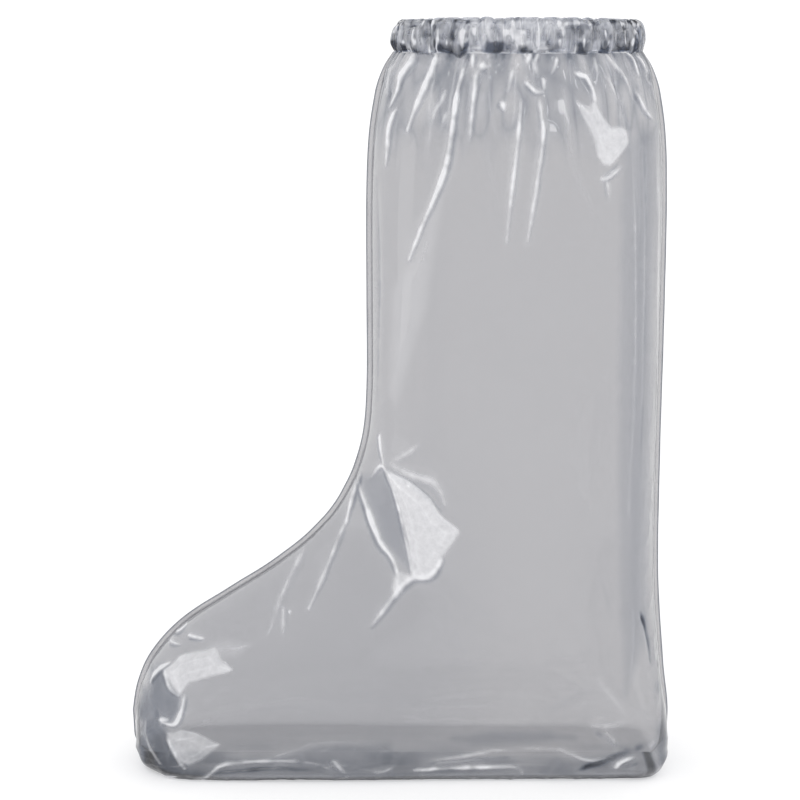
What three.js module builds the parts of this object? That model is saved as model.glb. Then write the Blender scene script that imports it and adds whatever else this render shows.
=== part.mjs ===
// A see-through boot cover of plastic film. Two side panels are welded edge to edge along the front,
// the toe, the sole and the back, and are gathered at the top into a hem with an elastic inside.
// It stands on its sole at z = 0, with the toe towards -X and the two panels towards -Y and +Y.
import * as THREE from 'three';

// Driving sizes, in millimetres.
const COVER_HEIGHT = 457;
const FOOT_LENGTH = 331;
const SHAFT_LENGTH = 175; // front to back
const SHAFT_WIDTH = 132; // side to side
const FOOT_WIDTH = 120;
const INSTEP_HEIGHT = 225; // where the front of the shaft starts to turn forward
const HEEL_SWELL = 7.5; // how far the heel stands behind the shaft
const CUFF_LENGTH = 147;
const CUFF_WIDTH = 112;
const CUFF_HEIGHT = 21;
const CUFF_BULGE = 3.6; // how far the hem puffs out on each side of its middle
const CUFF_GATHERS = 40;
const FILM_WALL = 1;
const SEAM_WIDTH = 3; // how far the welded edge stands out of the film
const SEAM_THICKNESS = 1.4;
const ELASTIC_HEIGHT = 7;
const ELASTIC_THICKNESS = 1.4;
const FOLD_DEPTH = 4;
const FOLD_WIDTH = 8;
const SOLE_FLATTENING = 3; // how deep the round underside is pressed flat by the floor
const FAR_SIDE_SHIFT = 6; // the far panel's folds lie this much further back
const CLEARANCE = 0.3;

// How finely the surfaces are divided.
const PANEL_COLUMNS = 36;
const PANEL_ROWS = 25;
const STEPS_PER_GATHER = 3;
const ELASTIC_STEPS = 60;
const SECTION_STEPS = 180;
const TOE_SEAM_STEPS = 6;

const FILM = { color: 0xb9b9c0, roughness: 0.12, metalness: 0, transparent: true, opacity: 0.45 };
const SEAM = { color: 0xa4a4ac, roughness: 0.2, metalness: 0, transparent: true, opacity: 0.6 };
const ELASTIC = { color: 0xd9dadd, roughness: 0.55, metalness: 0 };

const FILM_TOP = COVER_HEIGHT - CUFF_HEIGHT - CLEARANCE;
const SHAFT_BACK = FOOT_LENGTH / 2 - HEEL_SWELL;
const SHAFT_FRONT = SHAFT_BACK - SHAFT_LENGTH;
const TOE_REACH = FOOT_LENGTH - HEEL_SWELL - SHAFT_LENGTH;
const SEAM_FACE = SEAM_THICKNESS / 2 + CLEARANCE;
const GATHER_SHARE = 0.34; // a gather changes the hem's puff by this share
const FLOOR_BLEND = 12; // the welded edge folds flat this far above the floor
const HEM_BLEND = 5; // and narrows this far below the hem, where it is drawn in
const HEM_EDGE = 0.8; // the hem's lower edge is this share of its bulge outside its middle

// The sections that the film is drawn through, from the hem, round the heel, to the toe.
// neck: 1 at the hem's size, 0 at the shaft's. ahead, up: the front line's place. heel, along, down:
// the back line's. foot: 0 at the shaft's width, 1 at the foot's. full: the share of that width,
// squared, so that the toe closes round. sole: 0 where the back is round, 1 where it is a flat sole.
// Levels run from 0 at the floor to 1 at the instep and 2 at the hem.
const SECTIONS = [
  { neck: 1, ahead: 0, up: 2, heel: 0, along: 0, down: 2, foot: 0, full: 1, sole: 0 },
  { neck: 0.64, ahead: 0, up: 1.955, heel: 0, along: 0, down: 1.955, foot: 0, full: 1.03, sole: 0 },
  { neck: 0.34, ahead: 0, up: 1.87, heel: 0, along: 0, down: 1.87, foot: 0, full: 1.05, sole: 0 },
  { neck: 0.1, ahead: 0, up: 1.755, heel: 0, along: 0, down: 1.755, foot: 0, full: 1.02, sole: 0 },
  { neck: 0, ahead: 0, up: 1.58, heel: 0, along: 0, down: 1.58, foot: 0, full: 1, sole: 0 },
  { neck: 0, ahead: 0, up: 1.3, heel: 0, along: 0, down: 1.26, foot: 0, full: 1, sole: 0 },
  { neck: 0, ahead: 0, up: 1.07, heel: -0.1, along: 0, down: 0.86, foot: 0.15, full: 1, sole: 0 },
  { neck: 0, ahead: 0.014, up: 0.925, heel: -0.05, along: 0, down: 0.53, foot: 0.35, full: 1, sole: 0 },
  { neck: 0, ahead: 0.055, up: 0.82, heel: 0.5, along: 0, down: 0.28, foot: 0.6, full: 0.99, sole: 0.15 },
  { neck: 0, ahead: 0.105, up: 0.748, heel: 1, along: 0, down: 0.12, foot: 0.85, full: 0.99, sole: 0.5 },
  { neck: 0, ahead: 0.15, up: 0.7, heel: 1, along: 0.016, down: 0.02, foot: 0.95, full: 0.97, sole: 0.95 },
  { neck: 0, ahead: 0.2, up: 0.66, heel: 1, along: 0.09, down: 0, foot: 1, full: 0.95, sole: 1 },
  { neck: 0, ahead: 0.29, up: 0.603, heel: 1, along: 0.25, down: 0, foot: 1, full: 0.94, sole: 1 },
  { neck: 0, ahead: 0.432, up: 0.533, heel: 1, along: 0.44, down: 0, foot: 1, full: 0.96, sole: 1 },
  { neck: 0, ahead: 0.607, up: 0.46, heel: 1, along: 0.62, down: 0, foot: 1, full: 1, sole: 1 },
  { neck: 0, ahead: 0.79, up: 0.38, heel: 1, along: 0.79, down: 0, foot: 1, full: 0.99, sole: 1 },
  { neck: 0, ahead: 0.915, up: 0.29, heel: 1, along: 0.905, down: 0, foot: 1, full: 0.88, sole: 1 },
  { neck: 0, ahead: 0.975, up: 0.205, heel: 1, along: 0.967, down: 0, foot: 1, full: 0.54, sole: 0.9 },
  { neck: 0, ahead: 0.998, up: 0.125, heel: 1, along: 0.995, down: 0.045, foot: 1, full: 0, sole: 0.6 },
];

// The main gathers and creases, as ridges (deep above 0) and furrows (below 0) between two places.
// across: 0 at the shaft's front, 1 at its back, and below 0 a share of the toe's reach.
// wide and deep: shares of the fold sizes.
const FOLDS = [
  { across: 0.19, level: 1.98, toAcross: 0.1, toLevel: 1.66, wide: 0.9, deep: 0.9 },
  { across: 0.27, level: 1.98, toAcross: 0.2, toLevel: 1.6, wide: 0.8, deep: -0.8 },
  { across: 0.36, level: 1.98, toAcross: 0.14, toLevel: 1.3, wide: 0.9, deep: 1.2 },
  { across: 0.43, level: 1.98, toAcross: 0.34, toLevel: 1.5, wide: 0.9, deep: -0.9 },
  { across: 0.5, level: 1.98, toAcross: 0.46, toLevel: 1.38, wide: 0.8, deep: 0.9 },
  { across: 0.56, level: 1.98, toAcross: 0.53, toLevel: 1.4, wide: 0.8, deep: -0.8 },
  { across: 0.65, level: 1.98, toAcross: 0.72, toLevel: 1.6, wide: 1, deep: 1.1 },
  { across: 0.74, level: 1.98, toAcross: 0.8, toLevel: 1.62, wide: 0.8, deep: -0.9 },
  { across: 0.82, level: 1.98, toAcross: 0.88, toLevel: 1.68, wide: 0.8, deep: 0.9 },
  { across: 0.9, level: 1.98, toAcross: 0.94, toLevel: 1.76, wide: 0.7, deep: -0.7 },
  { across: 0.1, level: 0.88, toAcross: 0.5, toLevel: 0.68, wide: 1.2, deep: 1.1 },
  { across: 0.52, level: 0.66, toAcross: 0.2, toLevel: 0.46, wide: 1.2, deep: 1 },
  { across: 0.04, level: 0.8, toAcross: 0.24, toLevel: 0.52, wide: 1.1, deep: -1.2 },
  { across: -0.06, level: 0.74, toAcross: -0.3, toLevel: 0.42, wide: 1, deep: 0.8 },
  { across: -0.72, level: 0.3, toAcross: -0.86, toLevel: 0.05, wide: 1.4, deep: 0.9 },
  { across: -0.6, level: 0.34, toAcross: -0.72, toLevel: 0.1, wide: 1.2, deep: -0.8 },
  { across: 0.7, level: 0.16, toAcross: 0.95, toLevel: 0.13, wide: 0.8, deep: -0.9 },
  { across: 0.74, level: 0.08, toAcross: 0.95, toLevel: 0.06, wide: 0.7, deep: 0.7 },
];

// The hem's film, from its lower outer edge, over the top and down inside to its loose inner edge.
// out: share of the bulge from the hem's middle. up: share of the hem's height. gather: how much of
// the gathers' wave reaches this place.
const HEM_PROFILE = [
  { out: 0.8, up: 0, gather: 0 },
  { out: 0.95, up: 0.24, gather: 0.8 },
  { out: 1, up: 0.76, gather: 1 },
  { out: 0.45, up: 1, gather: 1 },
  { out: -0.45, up: 1, gather: 1 },
  { out: -1, up: 0.74, gather: 1 },
  { out: -0.95, up: 0.12, gather: 0.8 },
];

function lerp(a, b, share) {
  return a + (b - a) * share;
}

function smoothstep(value, low, high) {
  return THREE.MathUtils.smoothstep(value, low, high);
}

// A height from its level: 0 at the floor, 1 at the instep, 2 at the hem.
function heightOf(level) {
  return level < 1 ? level * INSTEP_HEIGHT : lerp(INSTEP_HEIGHT, FILM_TOP, level - 1);
}

// A smooth curve through one column of the table of sections. place runs from 0 to 1.
function column(name, place) {
  const last = SECTIONS.length - 1;
  const index = Math.min(Math.floor(place * last), last - 1);
  const t = place * last - index;
  const [a, b, c, d] = [-1, 0, 1, 2].map((step) => {
    return SECTIONS[THREE.MathUtils.clamp(index + step, 0, last)][name];
  });
  return b + 0.5 * t * (c - a + t * (2 * a - 5 * b + 4 * c - d + t * (3 * (b - c) + d - a)));
}

// The two ends of a section in the middle plane, and its half width and roundness.
function sectionAt(place) {
  const get = (name) => column(name, place);
  const middle = (SHAFT_FRONT + SHAFT_BACK) / 2;
  const halfLength = lerp(SHAFT_LENGTH, CUFF_LENGTH, get('neck')) / 2;
  const front = new THREE.Vector2(
    middle - halfLength - get('ahead') * TOE_REACH,
    heightOf(get('up')),
  );
  const back = new THREE.Vector2(
    middle + halfLength + get('heel') * HEEL_SWELL - get('along') * FOOT_LENGTH,
    heightOf(get('down')) - get('sole') * SOLE_FLATTENING,
  );
  const shaftHalf = lerp(SHAFT_WIDTH, CUFF_WIDTH, get('neck')) / 2;
  const half = lerp(shaftHalf, FOOT_WIDTH / 2, get('foot')) * Math.sqrt(Math.max(0, get('full')));
  const sole = THREE.MathUtils.clamp(get('sole'), 0, 1);
  return { front, back, half, sole };
}

// One side of a section as evenly spaced points from the front line to the back line. It is a
// superellipse, rounder towards the front and squarer towards a flat sole.
function sectionPoints({ front, back, half, sole }) {
  const widest = lerp(0.5, 0.62, sole);
  const squareness = lerp(2, 6, sole);
  const raw = [];
  for (let k = 0; k <= SECTION_STEPS; k += 1) {
    const angle = (Math.PI * k) / SECTION_STEPS;
    const cosine = Math.cos(angle);
    const power = cosine > 0 ? 1 : 2 / squareness;
    const reach = Math.abs(cosine) ** power;
    const along = cosine > 0 ? widest * (1 - reach) : widest + (1 - widest) * reach;
    const out = half * Math.sin(angle) ** power;
    const x = lerp(front.x, back.x, along);
    const z = lerp(front.y, back.y, along);
    raw.push(new THREE.Vector3(x, -SEAM_FACE - out, z));
  }
  return evenlySpaced(raw, PANEL_COLUMNS);
}

function evenlySpaced(points, count) {
  const lengths = [0];
  for (let k = 1; k < points.length; k += 1) {
    lengths.push(lengths[k - 1] + points[k].distanceTo(points[k - 1]));
  }
  const total = lengths[lengths.length - 1];
  const spaced = [];
  let k = 1;
  for (let step = 0; step <= count; step += 1) {
    const wanted = (total * step) / count;
    while (k < points.length - 1 && lengths[k] < wanted) k += 1;
    const share = (wanted - lengths[k - 1]) / (lengths[k] - lengths[k - 1]);
    spaced.push(points[k - 1].clone().lerp(points[k], THREE.MathUtils.clamp(share, 0, 1)));
  }
  return spaced;
}

// The unit normals of a grid of points, from the differences between its neighbours.
function gridNormals(grid) {
  return grid.map((row, i) => {
    const above = grid[Math.max(i - 1, 0)];
    const below = grid[Math.min(i + 1, grid.length - 1)];
    return row.map((_, j) => {
      const down = below[j].clone().sub(above[j]);
      const round = row[Math.min(j + 1, row.length - 1)].clone().sub(row[Math.max(j - 1, 0)]);
      return down.cross(round).normalize();
    });
  });
}

function foldPlace(across, level) {
  const x = across < 0 ? SHAFT_FRONT + across * TOE_REACH : SHAFT_FRONT + across * SHAFT_LENGTH;
  return new THREE.Vector2(x, heightOf(level));
}

// How far the folds lift the film at a place seen from the side. Each fold is a bell curve across
// and fades towards its far end.
function foldLift(point, shift) {
  const place = new THREE.Vector2(point.x - shift, point.z);
  let lift = 0;
  for (const fold of FOLDS) {
    const start = foldPlace(fold.across, fold.level);
    const run = foldPlace(fold.toAcross, fold.toLevel).sub(start);
    const length = run.length();
    const offset = place.clone().sub(start);
    const along = offset.dot(run) / (length * length);
    const nearest = start.clone().addScaledVector(run, THREE.MathUtils.clamp(along, 0, 1));
    const away = place.distanceTo(nearest) / (fold.wide * FOLD_WIDTH);
    const fade = 1 - 0.8 * THREE.MathUtils.clamp(along, 0, 1);
    lift += fold.deep * FOLD_DEPTH * fade * Math.exp(-away * away);
  }
  return lift;
}

// The outer and inner surface of one panel, as grids of points from the hem to the toe and from the
// front edge to the back edge. The folds vanish at the welded edges, and the floor flattens the sole.
function panelSurfaces(shift) {
  const smooth = [];
  for (let i = 0; i <= PANEL_ROWS; i += 1) {
    smooth.push(sectionPoints(sectionAt(i / PANEL_ROWS)));
  }
  const smoothNormals = gridNormals(smooth);
  const outer = smooth.map((row, i) => {
    return row.map((point, j) => {
      const edge = Math.sin((Math.PI * j) / PANEL_COLUMNS);
      const lift = foldLift(point, shift) * smoothstep(edge, 0, 0.35);
      const lifted = point.clone().addScaledVector(smoothNormals[i][j], lift);
      return i === 0 ? lifted.setZ(point.z) : lifted;
    });
  });
  const normals = gridNormals(outer);
  const inner = outer.map((row, i) => {
    return row.map((point, j) => {
      const moved = point.clone().addScaledVector(normals[i][j], -FILM_WALL);
      if (i === 0) moved.z = point.z;
      if (i === PANEL_ROWS || j === 0 || j === PANEL_COLUMNS) moved.y = -SEAM_FACE;
      moved.z = Math.max(moved.z, FILM_WALL);
      moved.y = Math.min(moved.y, -SEAM_FACE);
      return moved;
    });
  });
  for (const row of outer) {
    for (const point of row) {
      point.z = Math.max(point.z, 0);
      point.y = Math.min(point.y, -SEAM_FACE);
    }
  }
  for (const row of outer) {
    row[0].y = -SEAM_FACE;
    row[PANEL_COLUMNS].y = -SEAM_FACE;
  }
  for (const point of outer[PANEL_ROWS]) point.y = -SEAM_FACE;
  return { outer, inner };
}

// A closed body from a ring of points at each step along a path. Every ring has as many points.
// An open path gets a flat face at each end, and a closed one joins its last ring to its first.
function bodyFromRings(rings, closedPath) {
  const count = rings[0].length;
  const positions = rings.flat().flatMap((point) => [point.x, point.y, point.z]);
  const faces = [];
  const steps = closedPath ? rings.length : rings.length - 1;
  for (let i = 0; i < steps; i += 1) {
    const here = i * count;
    const next = ((i + 1) % rings.length) * count;
    for (let j = 0; j < count; j += 1) {
      const side = (j + 1) % count;
      faces.push(here + j, next + j, next + side, here + j, next + side, here + side);
    }
  }
  if (!closedPath) {
    const end = (rings.length - 1) * count;
    for (let j = 0; j < count / 2 - 1; j += 1) {
      const other = count - 1 - j;
      faces.push(j, j + 1, other - 1, j, other - 1, other);
      faces.push(end + j, end + other - 1, end + j + 1, end + j, end + other, end + other - 1);
    }
  }
  const geometry = new THREE.BufferGeometry();
  geometry.setAttribute('position', new THREE.Float32BufferAttribute(positions, 3));
  geometry.setIndex(faces);
  return facingOut(geometry);
}

// Turns all the faces round if the body's volume comes out negative.
function facingOut(geometry) {
  const position = geometry.getAttribute('position');
  const index = geometry.getIndex();
  const corner = [new THREE.Vector3(), new THREE.Vector3(), new THREE.Vector3()];
  let volume = 0;
  for (let k = 0; k < index.count; k += 3) {
    corner.forEach((vertex, n) => vertex.fromBufferAttribute(position, index.getX(k + n)));
    volume += corner[0].dot(corner[1].clone().cross(corner[2]));
  }
  if (volume < 0) {
    for (let k = 0; k < index.count; k += 3) {
      const second = index.getX(k + 1);
      index.setX(k + 1, index.getX(k + 2));
      index.setX(k + 2, second);
    }
  }
  geometry.computeVertexNormals();
  return geometry;
}

function named(name, geometry, look) {
  const mesh = new THREE.Mesh(geometry, new THREE.MeshStandardMaterial(look));
  mesh.name = name;
  return mesh;
}

// One side panel: each ring goes along the outer film and back along the inner.
function sidePanel(name, side, shift) {
  const { outer, inner } = panelSurfaces(shift);
  const rings = outer.map((row, i) => {
    const ring = [...row, ...inner[i].slice().reverse()];
    return ring.map((point) => new THREE.Vector3(point.x, side * point.y, point.z));
  });
  return named(name, bodyFromRings(rings, false), FILM);
}

// The outline of the film in the middle plane: down the front, round the toe, along the sole, up
// the back.
function outline() {
  const rows = [];
  for (let i = 0; i <= PANEL_ROWS; i += 1) rows.push(sectionAt(i / PANEL_ROWS));
  const toe = rows[PANEL_ROWS];
  const front = rows.map((row) => row.front);
  const tip = [];
  for (let k = 1; k < TOE_SEAM_STEPS; k += 1) {
    tip.push(toe.front.clone().lerp(toe.back, k / TOE_SEAM_STEPS));
  }
  const back = rows.map((row) => row.back).reverse();
  return [...front, ...tip, ...back];
}

// The welded edge strip. It stands out of the film all round, and lies flat between the two panels
// where the cover rests on the floor.
function weldSeam() {
  const path = outline();
  const rings = path.map((point, k) => {
    const before = path[Math.max(k - 1, 0)];
    const after = path[Math.min(k + 1, path.length - 1)];
    const tangent = after.clone().sub(before).normalize();
    const outward = new THREE.Vector2(tangent.y, -tangent.x);
    if (k === 0 || k === path.length - 1) outward.set(Math.sign(outward.x), 0);
    const aboveFloor = smoothstep(point.y, 0, FLOOR_BLEND);
    const belowHem = smoothstep(FILM_TOP - point.y, 0, HEM_BLEND);
    const proud = SEAM_WIDTH * Math.min(aboveFloor, belowHem);
    const edge = point.clone().addScaledVector(outward, proud);
    const root = point.clone().addScaledVector(outward, -FILM_WALL);
    edge.y = Math.max(edge.y, 0);
    root.y = Math.max(root.y, FILM_WALL);
    const half = SEAM_THICKNESS / 2;
    return [
      new THREE.Vector3(edge.x, -half, edge.y),
      new THREE.Vector3(edge.x, half, edge.y),
      new THREE.Vector3(root.x, half, root.y),
      new THREE.Vector3(root.x, -half, root.y),
    ];
  });
  return named('weld_seam', bodyFromRings(rings, false), SEAM);
}

// Evenly spaced places round the hem, each with its outward direction.
function hemPlaces(steps) {
  const fine = [];
  for (let k = 0; k <= SECTION_STEPS; k += 1) {
    const angle = (2 * Math.PI * k) / SECTION_STEPS;
    const halfWidth = CUFF_WIDTH / 2 + SEAM_FACE;
    fine.push(
      new THREE.Vector3((-CUFF_LENGTH / 2) * Math.cos(angle), -halfWidth * Math.sin(angle), 0),
    );
  }
  const even = evenlySpaced(fine, steps).slice(0, steps);
  const middle = (SHAFT_FRONT + SHAFT_BACK) / 2;
  return even.map((point) => {
    const outward = new THREE.Vector3(
      point.x / CUFF_LENGTH ** 2,
      point.y / CUFF_WIDTH ** 2,
      0,
    ).normalize();
    point.x += middle;
    return { point, outward };
  });
}

// The hem's wall in section for one step of the gathers' wave: its outer face, then its inner face
// back again. Distances run outwards from the film's edge, and heights up from the hem's lower edge.
function hemSection(wave) {
  const middle = HEM_PROFILE.map(({ out, up, gather }) => {
    const puffed = out * (1 + GATHER_SHARE * wave * gather);
    const height = lerp(FILM_WALL / 2, CUFF_HEIGHT - FILM_WALL / 2, up);
    return new THREE.Vector2((puffed - HEM_EDGE) * CUFF_BULGE, height);
  });
  middle[0].y = 0;
  const sideways = middle.map((point, k) => {
    const before = middle[Math.max(k - 1, 0)];
    const after = middle[Math.min(k + 1, middle.length - 1)];
    const tangent = after.clone().sub(before).normalize();
    return new THREE.Vector2(tangent.y, -tangent.x).multiplyScalar(FILM_WALL / 2);
  });
  sideways[0].set(FILM_WALL / 2, 0);
  const outside = middle.map((point, k) => point.clone().add(sideways[k]));
  const inside = middle.map((point, k) => point.clone().sub(sideways[k]));
  return [...outside, ...inside.reverse()];
}

// A gather's wave at a step round the hem, from 1 where it puffs out to its lowest where it pinches.
function gatherWave(step) {
  return Math.cos((2 * Math.PI * step) / STEPS_PER_GATHER);
}

// The gathered hem: its section carried round the opening, puffed and pinched by each gather.
function cuffCasing() {
  const steps = CUFF_GATHERS * STEPS_PER_GATHER;
  const base = COVER_HEIGHT - CUFF_HEIGHT;
  const rings = hemPlaces(steps).map(({ point, outward }, k) => {
    return hemSection(gatherWave(k)).map(({ x, y }) => {
      return point.clone().addScaledVector(outward, x).setZ(base + y);
    });
  });
  return named('cuff_casing', bodyFromRings(rings, true), FILM);
}

// The elastic lies against the hem's inner film, where the gathers pinch it.
function elasticBand() {
  const pinched = gatherWave(Math.floor(STEPS_PER_GATHER / 2));
  const legs = HEM_PROFILE.slice(-2).map(({ out, gather }) => {
    return out * (1 + GATHER_SHARE * pinched * gather);
  });
  const innerFace = (Math.max(...legs) - HEM_EDGE) * CUFF_BULGE + FILM_WALL / 2;
  const centre = innerFace + CLEARANCE + ELASTIC_THICKNESS / 2;
  const low = COVER_HEIGHT - CUFF_HEIGHT / 2 - ELASTIC_HEIGHT / 2;
  const rings = hemPlaces(ELASTIC_STEPS).map(({ point, outward }) => {
    const face = (side, z) => {
      const out = centre + (side * ELASTIC_THICKNESS) / 2;
      return point.clone().addScaledVector(outward, out).setZ(z);
    };
    const high = low + ELASTIC_HEIGHT;
    return [face(1, low), face(1, high), face(-1, high), face(-1, low)];
  });
  return named('elastic_band', bodyFromRings(rings, true), ELASTIC);
}

const cover = new THREE.Group();
cover.add(sidePanel('near_panel', 1, 0));
cover.add(sidePanel('far_panel', -1, FAR_SIDE_SHIFT));
cover.add(weldSeam());
cover.add(cuffCasing());
cover.add(elasticBand());

// The origin is at the middle of the footprint, on the floor.
const box = new THREE.Box3().setFromObject(cover);
cover.position.x = -(box.min.x + box.max.x) / 2;

export default cover;
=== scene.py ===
"""A see-through boot-style shoe cover of welded plastic film with a gathered elastic hem.

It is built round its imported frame: the two side panels, the welded edge, the hem and the elastic are
surfaces worked out with numpy at the frame's own sizes. Lengths are in metres.
"""

import bpy
import numpy as np
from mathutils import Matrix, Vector


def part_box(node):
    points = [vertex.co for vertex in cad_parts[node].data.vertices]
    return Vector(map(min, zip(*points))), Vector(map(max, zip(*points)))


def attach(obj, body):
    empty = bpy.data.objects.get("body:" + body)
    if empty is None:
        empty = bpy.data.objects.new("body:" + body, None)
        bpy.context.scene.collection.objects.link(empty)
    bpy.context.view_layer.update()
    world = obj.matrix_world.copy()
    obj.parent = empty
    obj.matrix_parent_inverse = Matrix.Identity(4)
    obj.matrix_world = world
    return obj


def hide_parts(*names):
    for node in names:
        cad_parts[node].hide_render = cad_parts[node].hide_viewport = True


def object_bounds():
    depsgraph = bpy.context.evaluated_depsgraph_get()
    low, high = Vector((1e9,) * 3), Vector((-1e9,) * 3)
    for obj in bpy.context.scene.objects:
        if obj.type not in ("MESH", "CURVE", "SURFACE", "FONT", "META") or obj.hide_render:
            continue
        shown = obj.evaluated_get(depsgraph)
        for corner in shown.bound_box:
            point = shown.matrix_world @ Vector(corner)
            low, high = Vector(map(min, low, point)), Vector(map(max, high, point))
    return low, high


bl_info = {
    "name": "Film Boot Cover",
    "version": (1, 0, 0),
    "blender": (4, 5, 0),
    "location": "View3D > Sidebar > Boot Cover",
    "description": "Builds a see-through boot cover with a gathered elastic hem",
    "category": "Add Mesh",
}

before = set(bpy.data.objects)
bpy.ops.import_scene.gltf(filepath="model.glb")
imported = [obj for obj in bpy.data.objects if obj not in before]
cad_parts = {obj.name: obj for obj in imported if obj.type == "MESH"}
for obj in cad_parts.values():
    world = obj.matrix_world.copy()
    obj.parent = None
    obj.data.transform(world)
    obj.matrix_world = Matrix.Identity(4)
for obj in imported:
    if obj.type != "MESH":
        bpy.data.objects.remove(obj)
CAD_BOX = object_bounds()
MM = 0.001

HIGH = np.array(CAD_BOX[1])
HEM_LOW, HEM_HIGH = (np.array(corner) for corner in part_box("cuff_casing"))
PANEL_LOW, PANEL_HIGH = (np.array(corner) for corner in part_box("near_panel"))
ELASTIC_LOW, ELASTIC_HIGH = (np.array(corner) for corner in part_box("elastic_band"))

# The sections that the film is drawn through, from the hem, round the heel, to the toe. neck is 1 at
# the hem's size and 0 at the shaft's. ahead and up place the front line; heel, along and down place
# the back line. foot is 0 at the shaft's width and 1 at the foot's, full is the share of that width,
# squared, and sole is 1 where the back is a flat sole. Levels run from 0 at the floor to 1 at the
# instep and 2 at the hem.
COLUMNS = ("neck", "ahead", "up", "heel", "along", "down", "foot", "full", "sole")
SECTIONS = np.array([
    (1, 0, 2, 0, 0, 2, 0, 1, 0),
    (0.64, 0, 1.955, 0, 0, 1.955, 0, 1.03, 0),
    (0.34, 0, 1.87, 0, 0, 1.87, 0, 1.05, 0),
    (0.1, 0, 1.755, 0, 0, 1.755, 0, 1.02, 0),
    (0, 0, 1.58, 0, 0, 1.58, 0, 1, 0),
    (0, 0, 1.3, 0, 0, 1.26, 0, 1, 0),
    (0, 0, 1.07, -0.1, 0, 0.86, 0.15, 1, 0),
    (0, 0.014, 0.925, -0.05, 0, 0.53, 0.35, 1, 0),
    (0, 0.055, 0.82, 0.5, 0, 0.28, 0.6, 0.99, 0.15),
    (0, 0.105, 0.748, 1, 0, 0.12, 0.85, 0.99, 0.5),
    (0, 0.15, 0.7, 1, 0.016, 0.02, 0.95, 0.97, 0.95),
    (0, 0.2, 0.66, 1, 0.09, 0, 1, 0.95, 1),
    (0, 0.29, 0.603, 1, 0.25, 0, 1, 0.94, 1),
    (0, 0.432, 0.533, 1, 0.44, 0, 1, 0.96, 1),
    (0, 0.607, 0.46, 1, 0.62, 0, 1, 1, 1),
    (0, 0.79, 0.38, 1, 0.79, 0, 1, 0.96, 0.98),
    (0, 0.915, 0.29, 1, 0.9, 0, 1, 0.78, 0.85),
    (0, 0.975, 0.205, 1, 0.968, 0.008, 1, 0.42, 0.65),
    (0, 0.998, 0.125, 1, 0.996, 0.03, 1, 0, 0.5),
])

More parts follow.
